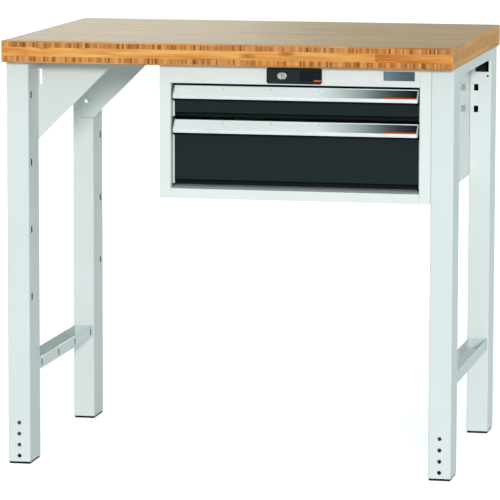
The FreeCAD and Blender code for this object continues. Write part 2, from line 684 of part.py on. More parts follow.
# Sill and fascia, folded channels between the posts; the fascia has the lock's opening
sill = cabinet_body("cabinet_sill", x=f"-{OPENING}")
sketch = sketch_on(sill, "YZ_Plane")
sill_rear = "sill_height + sill_rise"
outline(sketch, [("0", "0"), ("post_depth", "0"), ("post_depth", "cab_sheet"), ("cab_sheet", "cab_sheet"),
                 ("cab_sheet", "sill_height - cab_sheet"), ("sill_depth", f"{sill_rear} - cab_sheet"),
                 ("sill_depth", sill_rear), ("0", "sill_height")])
pad(sill, sketch, f"2 * {OPENING}")

fascia = cabinet_body("cabinet_fascia", x=f"-{OPENING}", z=CAB_TALL)
sketch = sketch_on(fascia, "YZ_Plane")
outline(sketch, [("0", "0"), ("post_depth", "0"), ("post_depth", "-cab_sheet"), ("cab_sheet", "-cab_sheet"),
                 ("cab_sheet", "cab_sheet - fascia_height"), ("post_depth", "cab_sheet - fascia_height"),
                 ("post_depth", "-fascia_height"), ("0", "-fascia_height")])
pad(fascia, sketch, f"2 * {OPENING}")
sketch = sketch_on(fascia, "XZ_Plane")
oval(sketch, f"({OPENING} - lock_shift)", "-lock_drop", "(oval_width + 2 * hole_play)",
     "(oval_height + 2 * hole_play)")
pocket(fascia, sketch, "cab_sheet")

# Lock plate with rounded corners and the lock's opening, its bare badge panel, and the bare name plate
lock_plate = cabinet_body("lock_plate", y="(-plate_thick)", z=LOCK_Z)
sketch = sketch_on(lock_plate, "XZ_Plane")
middle_rectangle(sketch, "0", "0", "plate_width", "plate_height")
pad(lock_plate, sketch, "plate_thick", backwards=True)
soften(lock_plate, "Fillet", level, Radius="plate_round")
sketch = sketch_on(lock_plate, "XZ_Plane")
oval(sketch, "(-lock_shift)", "0", "(oval_width + 2 * hole_play)", "(oval_height + 2 * hole_play)")
pocket(lock_plate, sketch, "plate_thick")
badge_right = "(plate_width / 2 - badge_margin)"
cabinet_box("lock_badge", f"{badge_right} - badge_width", badge_right, "(-plate_thick - badge_thick)",
            "(-plate_thick)", f"({LOCK_Z} - badge_height / 2)", f"({LOCK_Z} + badge_height / 2)")
name_right = "(cab_width / 2 - name_margin)"
name_middle = f"({CAB_TALL} - name_drop)"
cabinet_box("name_plate", f"{name_right} - name_width", name_right, "(-name_thick)", "0",
            f"({name_middle} - name_height / 2)", f"({name_middle} + name_height / 2)")

# Lock: oval housing, the plug that turns in it with its key slot, the rod and the cam
housing = cabinet_body("lock_housing", x="(-lock_shift)", y="(-plate_thick - oval_proud)", z=LOCK_Z)
sketch = sketch_on(housing, "XZ_Plane")
oval(sketch, "0", "0", "oval_width", "oval_height")
circle(sketch, "0", "0", "plug_dia + 2 * plug_play")
pad(housing, sketch, "plate_thick + oval_proud + oval_depth", backwards=True)

plug_front = "(plate_thick + oval_proud + plug_proud)"
plug_end = "(oval_depth + plug_tail)"
plug = cabinet_body("lock_plug", x="(-lock_shift)", y=f"(-{plug_front})", z=LOCK_Z)
sketch = sketch_on(plug, "XZ_Plane")
circle(sketch, "0", "0", "plug_dia")
pad(plug, sketch, f"{plug_front} + {plug_end}", backwards=True)
sketch = sketch_on(plug, "XZ_Plane")
middle_rectangle(sketch, "0", "0", "key_width", "key_height")
pocket(plug, sketch, "key_depth")

cam_back = f"({STRIP_FRONT} - strip_play)"
rod_middle = [f"{CAB_X} - lock_shift", f"{CAB_FRONT} + {plug_end}", f"{CAB_BOTTOM} + {LOCK_Z}"]
rod = cylinder("lock_rod", *rod_middle, TO_BACK, "rod_dia", f"{cam_back} - cam_thick - {plug_end}")
keep(rod, "lock_rod")
cam = cabinet_body("lock_cam", x="(-lock_shift)", y=f"({cam_back} - cam_thick)", z=LOCK_Z)
sketch = sketch_on(cam, "XZ_Plane")
circle(sketch, "0", "0", "2 * cam_radius + pin_dia + 2 * cam_rim")
pad(cam, sketch, "cam_thick", backwards=True)
sketch = sketch_on(cam, "XZ_Plane")
circle(sketch, f"-{PIN_SIDE}", f"-{PIN_SIDE}", "pin_dia")
pad(cam, sketch, "cam_thick + strip_play + strip_thick", backwards=True)


def catch_under(drawer):
    """Height of the underside of a drawer's catch over the cabinet's underside."""
    front, bottom = DRAWERS[drawer]
    return f"({bottom} + {front} - tray_drop - catch_drop)"


# Lock bar: a strip at the cabinet's back, lifted by the cam pin in its slot, with a welded hook per drawer
lock_bar = cabinet_body("lock_bar", x="(-lock_shift)", y=STRIP_FRONT)
sketch = sketch_on(lock_bar, "XZ_Plane")
strip_top = f"({SLOT_Z} + pin_dia / 2 + pin_play + strip_crown)"
rectangle(sketch, "-strip_width / 2", "strip_width / 2", "strip_foot", strip_top)
pad(lock_bar, sketch, "strip_thick", backwards=True)
sketch = sketch_on(lock_bar, "XZ_Plane")
rectangle(sketch, "-(cam_radius + pin_dia / 2 + pin_play)", f"pin_dia / 2 + pin_play - {PIN_SIDE}",
          f"{SLOT_Z} - pin_dia / 2 - pin_play", f"{SLOT_Z} + pin_dia / 2 + pin_play")
pocket(lock_bar, sketch, "strip_thick")
CATCH_LEFT = "(-lock_shift - catch_width / 2)"
CATCH_RIGHT = "(catch_width / 2 - lock_shift)"
CATCH_END = f"({TRAY_END} + catch_length)"
LIP_START = f"({CATCH_END} - catch_sheet)"
hook_back = f"({LIP_START} - catch_gap)"
hook_front = f"({hook_back} - strip_thick)"
hooks = []
for drawer in DRAWERS:
    hook_top = f"({catch_under(drawer)} - catch_lip - catch_clear)"
    shelf = f"({hook_top} - catch_lip)"
    hooks.append(cabinet_box(f"{drawer}_hook_shelf", CATCH_LEFT, CATCH_RIGHT, hook_front, STRIP_FRONT,
                             f"{shelf} - strip_thick", shelf, kept=False))
    hooks.append(cabinet_box(f"{drawer}_hook_lip", CATCH_LEFT, CATCH_RIGHT, hook_front, hook_back,
                             shelf, hook_top, kept=False))
group("lock_hooks", hooks)

guides = []
for name in ("guide_low", "guide_high"):
    slot_half = "(strip_width / 2 + strip_play)"
    outer_half = f"({slot_half} + guide_wall)"
    slot_front = f"({STRIP_FRONT} - strip_play)"
    block = cabinet_box(f"{name}_block", f"-lock_shift - {outer_half}", f"-lock_shift + {outer_half}",
                        f"({slot_front} - guide_wall)", CAB_BACK, name, f"({name} + guide_height)",
                        kept=False)
    slot = cabinet_box(f"{name}_slot", f"-lock_shift - {slot_half}", f"-lock_shift + {slot_half}", slot_front,
                       CAB_BACK, name, f"({name} + guide_height)", kept=False)
    guides.append(less(f"lock_{name}", block, slot))
group("lock_bar_guides", guides)


# Runner rails by kind: web's outer and inner face and flange tip from the cabinet's middle, and half height
middle_web = f"({OPENING} - post_clear)"
runner_lap = "(runner_thick - post_clear - runner_wall - runner_gap)"
RUNNERS = {
    "fixed": (CAB_INSIDE, f"{CAB_INSIDE} - runner_wall", f"{TRAY_HALF} + runner_clear",
              "(runner_height / 2)"),
    "middle": (middle_web, f"{middle_web} - runner_wall", f"{middle_web} - {runner_lap}",
               "(runner_height / 2 - runner_wall - runner_play)"),
    "drawer": (TRAY_HALF, f"{TRAY_HALF} + runner_wall", f"{TRAY_HALF} + {runner_lap}",
               "(runner_height / 2 - 2 * runner_wall - 2 * runner_play)"),
}


def runner_pair(drawer, kind):
    """The left and right rail of one kind, channels one inside the other."""
    front, bottom = DRAWERS[drawer]
    middle = f"({bottom} + {TRAY_LIFT} + runner_lift)"
    web, web_inside, tip, half = RUNNERS[kind]
    flange = f"({half} - runner_wall)"
    pieces = []
    for side_name, side in SIDES.items():
        far, inner, near = (f"{side} * ({distance})" for distance in (web, web_inside, tip))
        body = cabinet_body(f"{drawer}_{kind}_rail_{side_name}", y="runner_start", z=middle, kept=False)
        sketch = sketch_on(body, "XZ_Plane")
        outline(sketch, [(far, f"-{half}"), (near, f"-{half}"), (near, f"-{flange}"), (inner, f"-{flange}"),
                         (inner, flange), (near, flange), (near, half), (far, half)])
        pad(body, sketch, RUNNER_LONG, backwards=True)
        pieces.append(body)
    group(f"{drawer}_{kind}_rails", pieces)


def tray(drawer):
    """A folded sheet tray, and the catch welded to its back for the lock bar's hook."""
    front, bottom = DRAWERS[drawer]
    body = cabinet_body(f"{drawer}_tray", z=bottom)
    sketch = sketch_on(body, "XY_Plane", TRAY_LIFT)
    rectangle(sketch, f"-{TRAY_HALF}", TRAY_HALF, TRAY_START, TRAY_END)
    pad(body, sketch, f"{front} - tray_drop - {TRAY_LIFT}")
    sketch = sketch_on(body, "XY_Plane", f"{TRAY_LIFT} + tray_sheet")
    rectangle(sketch, f"tray_sheet - {TRAY_HALF}", f"{TRAY_HALF} - tray_sheet", f"{TRAY_START} + tray_sheet",
              f"{TRAY_END} - tray_sheet")
    pocket(body, sketch, forwards=True)

    under = catch_under(drawer)
    plate = cabinet_box(f"{drawer}_catch_plate", CATCH_LEFT, CATCH_RIGHT, TRAY_END, CATCH_END, under,
                        f"{under} + catch_sheet", kept=False)
    lip = cabinet_box(f"{drawer}_catch_lip", CATCH_LEFT, CATCH_RIGHT, LIP_START, CATCH_END,
                      f"{under} - catch_lip", under, kept=False)
    group(f"{drawer}_catch", [plate, lip])


def front_panel(drawer):
    """A sheet front with a set-back foot, and hems folded back over and under it."""
    front, bottom = DRAWERS[drawer]
    body = cabinet_body(f"{drawer}_front", x=f"-{FRONT_HALF}", z=bottom)
    sketch = sketch_on(body, "YZ_Plane")
    hem_end = "panel_recess + hem_depth"
    foot = "bevel_height - bevel_rise"
    under = f"{front} - panel_sheet"
    outline(sketch, [("panel_recess", front), ("panel_recess", "bevel_height"),
                     ("panel_recess + bevel_in", foot), ("panel_recess + bevel_in", "0"), (hem_end, "0"),
                     (hem_end, "panel_sheet"), (f"{TRAY_START} + bevel_in", "panel_sheet"),
                     (f"{TRAY_START} + bevel_in", foot), (TRAY_START, "bevel_height"),
                     (TRAY_START, under), (hem_end, under), (hem_end, front)])
    pad(body, sketch, f"2 * {FRONT_HALF}")


def handle_body(drawer, name, start, kept=True):
    """A body at the foot of a drawer's handle, starting across at a formula."""
    front, bottom = DRAWERS[drawer]
    return cabinet_body(f"{drawer}_{name}", x=start, z=f"({bottom} + {front} - handle_height)", kept=kept)


def handle(drawer):
    """A drawn aluminium strip with a sloped label bed, its label, clear cover and end caps."""
    bed_end = "(handle_height - handle_brow)"
    half = f"({FRONT_HALF} - cap_thick)"
    rear = "(panel_recess - handle_wall)"
    slope_rise = f"({bed_end} - handle_lip) / handle_slope"
    slope_end = f"(handle_lip + ({rear} - label_sink - handle_wall) * {slope_rise})"
    body = handle_body(drawer, "handle", f"-{half}")
    sketch = sketch_on(body, "YZ_Plane")
    outline(sketch, [("0", "0"), ("0", "handle_lip"), ("label_sink", "handle_lip"),
                     ("handle_slope + label_sink", bed_end), ("handle_slope", bed_end),
                     ("handle_slope", "handle_height"), ("panel_recess", "handle_height"),
                     ("panel_recess", "handle_back"), (rear, "handle_back"), (rear, slope_end),
                     ("label_sink + handle_wall", "handle_lip"), ("label_sink + handle_wall", "0")])
    pad(body, sketch, f"2 * {half}")

    layers = [("label", "label_sink", "label_thick"),
              ("label_cover", "(label_sink - label_thick)", "cover_thick")]
    for name, bed, thick in layers:
        body = handle_body(drawer, name, f"-{half}")
        sketch = sketch_on(body, "YZ_Plane")
        outline(sketch, [(bed, "handle_lip"), (f"{bed} + handle_slope", bed_end),
                         (f"{bed} + handle_slope - {thick}", bed_end), (f"{bed} - {thick}", "handle_lip")])
        pad(body, sketch, f"2 * {half}")

    caps = []
    for side_name, start in (("left", f"-{FRONT_HALF}"), ("right", half)):
        body = handle_body(drawer, f"handle_cap_{side_name}", start, kept=False)
        sketch = sketch_on(body, "YZ_Plane")
        outline(sketch, [("0", "0"), ("0", "handle_lip"), ("handle_slope", bed_end),
                         ("handle_slope", "handle_height"), ("panel_recess", "handle_height"),
                         ("panel_recess", "handle_back"), ("label_sink + handle_wall", "0")])
        pad(body, sketch, "cap_thick")
        caps.append(body)
    group(f"{drawer}_handle_caps", caps)


for drawer in DRAWERS:
    tray(drawer)
    front_panel(drawer)
    handle(drawer)
    for kind in RUNNERS:
        runner_pair(drawer, kind)

# Every object must have worked, every cut must have taken something away
doc.recompute()
for thing in doc.Objects:
    if "Invalid" in thing.State or "Error" in thing.State:
        raise RuntimeError(f"{thing.Name} is {thing.State}")
for before, after in cuts:
    if after.Shape.Volume > before.Shape.Volume - 0.01:
        raise RuntimeError(f"{after.Name} takes nothing away")

os.makedirs("parts", exist_ok=True)
for thing in subparts:
    if thing.Shape.isNull() or not thing.Shape.isValid():
        raise RuntimeError(f"{thing.Label} has no sound shape")
    thing.Shape.exportStep(f"parts/{thing.Label}.step")
print(len(subparts), "sub-parts written")
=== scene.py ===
import json
import math

import bpy
from mathutils import Matrix, Vector

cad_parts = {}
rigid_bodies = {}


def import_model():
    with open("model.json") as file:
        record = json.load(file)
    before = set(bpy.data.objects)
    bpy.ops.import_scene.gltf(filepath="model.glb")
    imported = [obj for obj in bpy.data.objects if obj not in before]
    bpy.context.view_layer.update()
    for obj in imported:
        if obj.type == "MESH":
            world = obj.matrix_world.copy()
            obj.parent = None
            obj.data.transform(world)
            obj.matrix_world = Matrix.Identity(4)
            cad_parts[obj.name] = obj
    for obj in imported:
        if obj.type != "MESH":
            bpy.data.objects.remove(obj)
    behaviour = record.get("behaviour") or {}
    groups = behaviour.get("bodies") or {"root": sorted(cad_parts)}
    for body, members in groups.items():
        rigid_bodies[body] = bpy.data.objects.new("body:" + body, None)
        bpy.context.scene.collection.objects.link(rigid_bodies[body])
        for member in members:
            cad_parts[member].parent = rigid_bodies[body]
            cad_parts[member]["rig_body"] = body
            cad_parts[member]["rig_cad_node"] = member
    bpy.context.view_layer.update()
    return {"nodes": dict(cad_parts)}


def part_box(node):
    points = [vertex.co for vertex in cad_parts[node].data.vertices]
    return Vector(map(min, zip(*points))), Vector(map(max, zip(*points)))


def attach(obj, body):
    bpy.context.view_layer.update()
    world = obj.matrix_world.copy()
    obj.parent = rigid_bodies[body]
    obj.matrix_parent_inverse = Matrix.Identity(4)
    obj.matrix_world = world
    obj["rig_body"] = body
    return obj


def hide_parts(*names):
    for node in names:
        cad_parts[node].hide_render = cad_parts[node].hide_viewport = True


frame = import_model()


# WORKTOP
# A thick board pressed from bamboo strips in five layers, then sanded and oiled. Three layers run along the
# bench. The two between them run front to back, so that their strip ends show as blocks on the front edge.

MM = 0.001
STRIP_WIDTH = 4.2 * MM
LOWEST_SEAM = 3 * MM
UPPER_SEAMS = (14.5 * MM, 34 * MM, 45 * MM)


def node(tree, kind, inputs=None, **settings):
    """Adds a shader node with its settings; an input is a value, or a socket that gets linked."""
    made = tree.nodes.new(f"ShaderNode{kind}")
    for name, value in settings.items():
        setattr(made, name, value)
    for name, value in (inputs or {}).items():
        if isinstance(value, bpy.types.NodeSocket):
            tree.links.new(value, made.inputs[name])
        else:
            made.inputs[name].default_value = value
    return made


def calculate(tree, operation, *values):
    """The result of a Math node."""
    return node(tree, "Math", dict(enumerate(values)), operation=operation).outputs[0]


def spread(tree, value, low, high, start=0.0, end=1.0):
    """A value smoothly spread from start to end while it goes from low to high."""
    limits = {"Value": value, "From Min": low, "From Max": high, "To Min": start, "To Max": end}
    return node(tree, "MapRange", limits, interpolation_type="SMOOTHSTEP").outputs["Result"]


def blended(tree, factor, first, second, blend="MIX"):
    """The colour between two colours."""
    return node(tree, "Mix", {0: factor, 6: first, 7: second}, data_type="RGBA", blend_type=blend).outputs[2]


def chosen(tree, factor, first, second):
    """The number between two numbers."""
    return node(tree, "Mix", {0: factor, 2: first, 3: second}, data_type="FLOAT").outputs[0]


def shades(tree, factor, *stops):
    """A colour ramp with stops at places from 0 to 1."""
    ramp = node(tree, "ValToRGB", {"Fac": factor})
    marks = ramp.color_ramp.elements
    while len(marks) < len(stops):
        marks.new(0.5)
    for mark, (place, colour) in zip(marks, stops):
        mark.position = place
        mark.color = colour
    return ramp.outputs["Color"]


def axes(tree, vector):
    """The three parts of a vector."""
    return node(tree, "SeparateXYZ", {0: vector}).outputs[:]


def effect(name, inputs, outputs):
    """An empty node group with named sockets; gives its tree, its input sockets and its output node."""
    tree = bpy.data.node_groups.new(name, "ShaderNodeTree")
    for label, kind in inputs.items():
        tree.interface.new_socket(label, in_out="INPUT", socket_type=f"NodeSocket{kind}")
    for label, kind in outputs.items():
        tree.interface.new_socket(label, in_out="OUTPUT", socket_type=f"NodeSocket{kind}")
    return tree, tree.nodes.new("NodeGroupInput").outputs, tree.nodes.new("NodeGroupOutput").inputs


def finish(name, **values):
    """A new material with plain values on its shader; gives its tree, shader and coordinates too."""
    made = bpy.data.materials.new(name)
    made.use_nodes = True
    tree = made.node_tree
    shader = tree.nodes["Principled BSDF"]
    for label, value in values.items():
        shader.inputs[label.replace("_", " ")].default_value = value
    return made, tree, shader, node(tree, "TexCoord").outputs


def relief(tree, shader, height, strength, distance):
    """Bumps on a shader from a height."""
    bump = node(tree, "Bump", {"Height": height, "Strength": strength, "Distance": distance})
    tree.links.new(bump.outputs["Normal"], shader.inputs["Normal"])


def coat(made, *names):
    """Gives a finish to CAD nodes that keep their own shape."""
    for name in names:
        frame["nodes"][name].material_slots[0].material = made


# Strips pressed side by side: a tone for each length of strip, its fibres, its seams and its dark knuckles
pressed_strips, given, result = effect(
    "pressed_strips",
    {"Along": "Float", "Across": "Float", "Level": "Float", "Strip width": "Float"},
    {"Tone": "Float", "Fibre": "Float", "Flame": "Float", "Seam": "Float", "Knuckle": "Float"})
rows = calculate(pressed_strips, "DIVIDE", given["Across"], given["Strip width"])
strip_rows = {"W": rows, "Scale": 1, "Randomness": 0.6}
cell = node(pressed_strips, "TexVoronoi", strip_rows, voronoi_dimensions="1D")
strip, shift, start = node(pressed_strips, "SeparateColor", {0: cell.outputs["Color"]}).outputs[:]
stagger = calculate(pressed_strips, "MULTIPLY_ADD", shift, 9, calculate(
    pressed_strips, "MULTIPLY", given["Along"], 1.3))
length = calculate(pressed_strips, "FLOOR", stagger)
mark = node(pressed_strips, "CombineXYZ", {0: length, 1: calculate(pressed_strips, "MULTIPLY", strip, 97)})
tone = node(pressed_strips, "TexWhiteNoise", {"Vector": mark.outputs[0]}, noise_dimensions="2D")
pressed_strips.links.new(tone.outputs["Value"], result["Tone"])
for label, along, across, detail in (("Fibre", 16, 480, 3), ("Flame", 5, 70, 2)):
    stretched = node(pressed_strips, "CombineXYZ", {
        0: calculate(pressed_strips, "MULTIPLY", given["Along"], along),
        1: calculate(pressed_strips, "MULTIPLY", given["Across"], across),
        2: calculate(pressed_strips, "MULTIPLY", given["Level"], across)})
    streaks = node(pressed_strips, "TexNoise",
                   {"Vector": stretched.outputs[0], "Scale": 1, "Detail": detail})
    pressed_strips.links.new(streaks.outputs["Fac"], result[label])
edge = node(pressed_strips, "TexVoronoi", strip_rows, voronoi_dimensions="1D", feature="DISTANCE_TO_EDGE")
pressed_strips.links.new(spread(pressed_strips, edge.outputs["Distance"], 0, 0.08, 1, 0), result["Seam"])
ring = calculate(pressed_strips, "FRACT", calculate(
    pressed_strips, "MULTIPLY_ADD", start, 11, calculate(pressed_strips, "MULTIPLY", given["Along"], 3.4)))
off_ring = calculate(pressed_strips, "ABSOLUTE", calculate(pressed_strips, "SUBTRACT", ring, 0.5))
pressed_strips.links.new(spread(pressed_strips, off_ring, 0.004, 0.03, 1, 0), result["Knuckle"])

bamboo, tree, shader, place = finish("oiled_bamboo", Specular_IOR_Level=0.06)
x, y, z = axes(tree, place["Object"])
facing_x, facing_y, facing_z = (calculate(tree, "ABSOLUTE", part) for part in axes(tree, place["Normal"]))
board_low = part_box("worktop")[0].z
layer = calculate(tree, "GREATER_THAN", z, board_low + LOWEST_SEAM)
for seam in UPPER_SEAMS:
    above = calculate(tree, "GREATER_THAN", z, board_low + seam)
    layer = calculate(tree, "ADD", layer, above)
cross = calculate(tree, "MODULO", layer, 2)
along = chosen(tree, cross, x, y)
across = calculate(tree, "MULTIPLY_ADD", layer, 0.371, chosen(tree, cross, y, x))
strips = node(tree, "Group", {"Along": along, "Across": across, "Level": z, "Strip width": STRIP_WIDTH},
              node_tree=pressed_strips).outputs
strip_end = spread(tree, chosen(tree, cross, facing_x, facing_y), 0.6, 0.9)

# Strip ends go from straw to dark brown; long sides stay warm yellow with orange flames
end_tone = calculate(tree, "MULTIPLY_ADD", strips["Fibre"], 0.5, calculate(
    tree, "MULTIPLY_ADD", strips["Tone"], 0.85, -0.17))
end_colour = shades(tree, end_tone, (0.0, (0.05, 0.024, 0.012, 1)), (0.09, (0.22, 0.075, 0.024, 1)),
                    (0.24, (0.42, 0.162, 0.047, 1)), (0.62, (0.6, 0.255, 0.078, 1)),
                    (1.0, (0.72, 0.35, 0.125, 1)))
streak = calculate(tree, "MULTIPLY_ADD", strips["Fibre"], 0.5, calculate(
    tree, "MULTIPLY", strips["Flame"], 0.75))
streak = calculate(tree, "MULTIPLY_ADD", strips["Tone"], 0.22, calculate(tree, "SUBTRACT", streak, 0.24))
side_colour = shades(tree, streak, (0.3, (0.5, 0.15, 0.028, 1)), (0.46, (0.69, 0.272, 0.064, 1)),
                     (0.64, (0.84, 0.432, 0.124, 1)))
face_colour = shades(tree, streak, (0.2, (0.33, 0.195, 0.08, 1)), (0.5, (0.46, 0.3, 0.135, 1)),
                     (0.8, (0.56, 0.39, 0.2, 1)))
long_colour = blended(tree, spread(tree, facing_z, 0.5, 0.95), side_colour, face_colour)

# The top shows the strips' dark knuckles, and the front edge a knot here and there
dark_ring = calculate(tree, "MULTIPLY", calculate(tree, "MULTIPLY", strips["Knuckle"], facing_z), 0.3)
long_colour = blended(tree, dark_ring, long_colour, (0.3, 0.13, 0.04, 1))
grown = node(tree, "CombineXYZ", {0: calculate(tree, "MULTIPLY", along, 13), 1: calculate(
    tree, "MULTIPLY", z, 36)}).outputs[0]
eye = node(tree, "TexVoronoi", {"Vector": grown, "Scale": 1}, voronoi_dimensions="2D").outputs
rare = calculate(tree, "GREATER_THAN", axes(tree, eye["Color"])[0], 0.66)
knot = calculate(tree, "MULTIPLY", spread(tree, eye["Distance"], 0.0, 0.34, 0.75, 0), rare)
long_colour = blended(tree, calculate(tree, "MULTIPLY", knot, facing_y), long_colour, (0.33, 0.09, 0.02, 1))

# The strips' seams lie darker. The board's two ends are painted paler than its front: a painted highlight.
wood = blended(tree, strip_end, long_colour, end_colour)
wood = blended(tree, calculate(tree, "MULTIPLY", strips["Seam"], 0.22), wood, (0.16, 0.07, 0.02, 1))
wood = blended(tree, calculate(tree, "MULTIPLY", facing_x, 0.45), wood, (1.0, 0.58, 0.28, 1))
tree.links.new(wood, shader.inputs["Base Color"])
satin = spread(tree, strips["Fibre"], 0.3, 0.7, 0.4, 0.54)
tree.links.new(chosen(tree, spread(tree, facing_z, 0.3, 0.9), 0.8, satin), shader.inputs["Roughness"])
grooves = calculate(tree, "SUBTRACT", strips["Fibre"], strips["Seam"])
relief(tree, shader, grooves, 0.25, 0.1 * MM)
coat(bamboo, "worktop")


# LEGS, TOP RAILS, CROSSBARS AND GUSSETS
# Folded and welded sheet steel: leg tubes with hook slots and height steps, a channel and a trough between
# each pair of legs, and two gussets lapped on the left legs. All of it is powder coated in one pale grey,
# which lies a little glossier on the left crossbar. The tubes' insides, the left crossbar's slot rims and
# the gussets' lap edges are painted darker, as painted shade.

# Powder coat: the fine orange peel of the baked powder, and slight clouds in its tone and gloss
powder_coat, given, result = effect(
    "powder_coat", {"Place": "Vector", "Colour": "Color", "Dullness": "Float"},
    {"Colour": "Color", "Roughness": "Float", "Height": "Float"})
cloud = node(powder_coat, "TexNoise", {"Vector": given["Place"], "Scale": 5, "Detail": 4}).outputs["Fac"]
grit = node(powder_coat, "TexNoise", {"Vector": given["Place"], "Scale": 1900, "Detail": 1}).outputs["Fac"]
peel = node(powder_coat, "TexNoise", {"Vector": given["Place"], "Scale": 620, "Detail": 2}).outputs["Fac"]
tint = calculate(powder_coat, "MULTIPLY_ADD", grit, 0.03, spread(powder_coat, cloud, 0.3, 0.7, 0.955, 0.985))
tint = node(powder_coat, "CombineColor", {0: tint, 1: tint, 2: tint}).outputs[0]
toned = blended(powder_coat, 1.0, given["Colour"], tint, "MULTIPLY")
powder_coat.links.new(toned, result["Colour"])
patches = spread(powder_coat, cloud, 0.3, 0.7, -0.05, 0.05)
powder_coat.links.new(calculate(powder_coat, "ADD", given["Dullness"], patches), result["Roughness"])
powder_coat.links.new(peel, result["Height"])


def painted(name, colour, gloss=0.28, dullness=0.49, shade_colour=(0.02, 0.021, 0.022, 1), **values):
    """A powder-coated finish in a colour, darkened to a shade colour on faces marked for painted shade."""
    made, tree, shader, place = finish(name, Specular_IOR_Level=gloss, **values)
    skin = node(tree, "Group", {"Place": place["Object"], "Colour": colour, "Dullness": dullness},
                node_tree=powder_coat).outputs
    painted_shade = node(tree, "Attribute", attribute_name="painted_shade").outputs["Fac"]
    tree.links.new(blended(tree, painted_shade, skin["Colour"], shade_colour), shader.inputs["Base Color"])
    tree.links.new(skin["Roughness"], shader.inputs["Roughness"])
    relief(tree, shader, skin["Height"], 0.12, 0.08 * MM)
    return made


def alone(piece):
    """Leaves one piece selected and active."""
    bpy.ops.object.select_all(action="DESELECT")
    piece.select_set(True)
    bpy.context.view_layer.objects.active = piece


def modified(piece, kind, **settings):
    """Puts a modifier on a piece and applies it."""
    alone(piece)
    modifier = piece.modifiers.new(kind.lower(), kind)
    for name, value in settings.items():
        setattr(modifier, name, value)
    bpy.ops.object.modifier_apply(modifier=modifier.name)


def smooth(piece, degrees=32):
    """Smooth shading across shallow edges, with the large faces kept flat."""
    alone(piece)
    bpy.ops.object.shade_smooth_by_angle(angle=math.radians(degrees))
    modified(piece, "WEIGHTED_NORMAL", weight=100, keep_sharp=True)


def fitted(piece, made, slot, body, *replaced):
    """Gives a piece its finish and the body it moves with, in place of CAD nodes; its slot is not used."""
    piece.data.materials.clear()
    piece.data.materials.append(made)
    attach(piece, body)
    if replaced:
        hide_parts(*replaced)


def repeated(model, label, shift=(0, 0, 0)):
    """A copy of a piece with a mesh of its own, moved by a shift."""
    alone(model)
    bpy.ops.object.duplicate()
    piece = bpy.context.object
    piece.name = label
    piece.data.transform(Matrix.Translation(shift))
    return piece


def copied(name, label):
    """A loose copy of a CAD node with its faces joined again."""
    piece = repeated(frame["nodes"][name], label)
    bpy.ops.object.parent_clear(type="CLEAR")
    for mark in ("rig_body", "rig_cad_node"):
        del piece[mark]
    bpy.ops.mesh.customdata_custom_splitnormals_clear()
    bpy.ops.object.mode_set(mode="EDIT")
    bpy.ops.mesh.select_all(action="SELECT")
    bpy.ops.mesh.remove_doubles(threshold=0.002 * MM)
    bpy.ops.mesh.dissolve_limited(angle_limit=math.radians(1))
    bpy.ops.object.mode_set(mode="OBJECT")
    return piece


def softened(name, radius, made, slot, body):
    """A CAD node with its sharp edges rounded, as a coat of paint or a pass of the file leaves them."""
    piece = copied(name, f"{name}_finished")
    modified(piece, "BEVEL", width=radius, segments=2, limit_method="ANGLE", angle_limit=math.radians(40),
             use_clamp_overlap=True, miter_outer="MITER_ARC")
    smooth(piece)
    fitted(piece, made, slot, body, name)
    return piece


def paint_shade_on(piece, test, share=1.0):
    """Marks the faces whose middle and normal pass a test for painted shade, by a share."""
    marks = piece.data.attributes.new("painted_shade", "FLOAT", "FACE")
    for face, mark in zip(piece.data.polygons, marks.data):
        mark.value = share if test(face.center, face.normal) else 0.0


def depths(box, spot):
    """How deep a spot lies inside a box across its width and its depth, the smaller first."""
    low, high = box
    return sorted(min(spot[axis] - low[axis], high[axis] - spot[axis]) for axis in (0, 1))


def unpicked(piece, kind):
    """Takes a piece out of edit mode with nothing selected, ready to pick its faces or edges."""
    alone(piece)
    bpy.ops.object.mode_set(mode="EDIT")
    bpy.ops.mesh.select_mode(type=kind)
    bpy.ops.mesh.select_all(action="DESELECT")
    bpy.ops.object.mode_set(mode="OBJECT")


def pick_edges(piece, test):
    """Opens a piece in edit mode with the edges selected whose middle and direction pass a test."""
    unpicked(piece, "EDGE")
    spots = [corner.co for corner in piece.data.vertices]
    for edge in piece.data.edges:
        start, end = (spots[index] for index in edge.vertices)
        edge.select = bool(test((start + end) / 2, (end - start).normalized()))
    bpy.ops.object.mode_set(mode="EDIT")


def close():
    """Leaves edit mode."""
    bpy.ops.object.mode_set(mode="OBJECT")


PALE_GREY = (0.71, 0.757, 0.748, 1)
FRAME_EDGE = 0.5 * MM
INSIDE_DEPTH = 0.4 * MM
CORNER_REACH = 3 * MM
SLOTS_END = 240 * MM
GUSSET_FACE = 247 * MM
GUSSET_SLOPE = Vector((-358, 0, 810)) * MM
GUSSET_ROUND = 1.3 * MM
ON_FACE = 0.1 * MM
ON_SLOPE = 5 * MM
LAP_EDGE = -478.5 * MM
LAP_FOOT = 720.5 * MM
LEG_EDGE = -448 * MM
LAP_SHARE = 0.45
frame_paint = painted("frame_paint", PALE_GREY)
crossbar_paint = painted("crossbar_paint", PALE_GREY, Coat_Weight=0.4, Coat_Roughness=0.1, Coat_IOR=1.22)
CORNERS = ("front_left", "front_right", "rear_left", "rear_right")
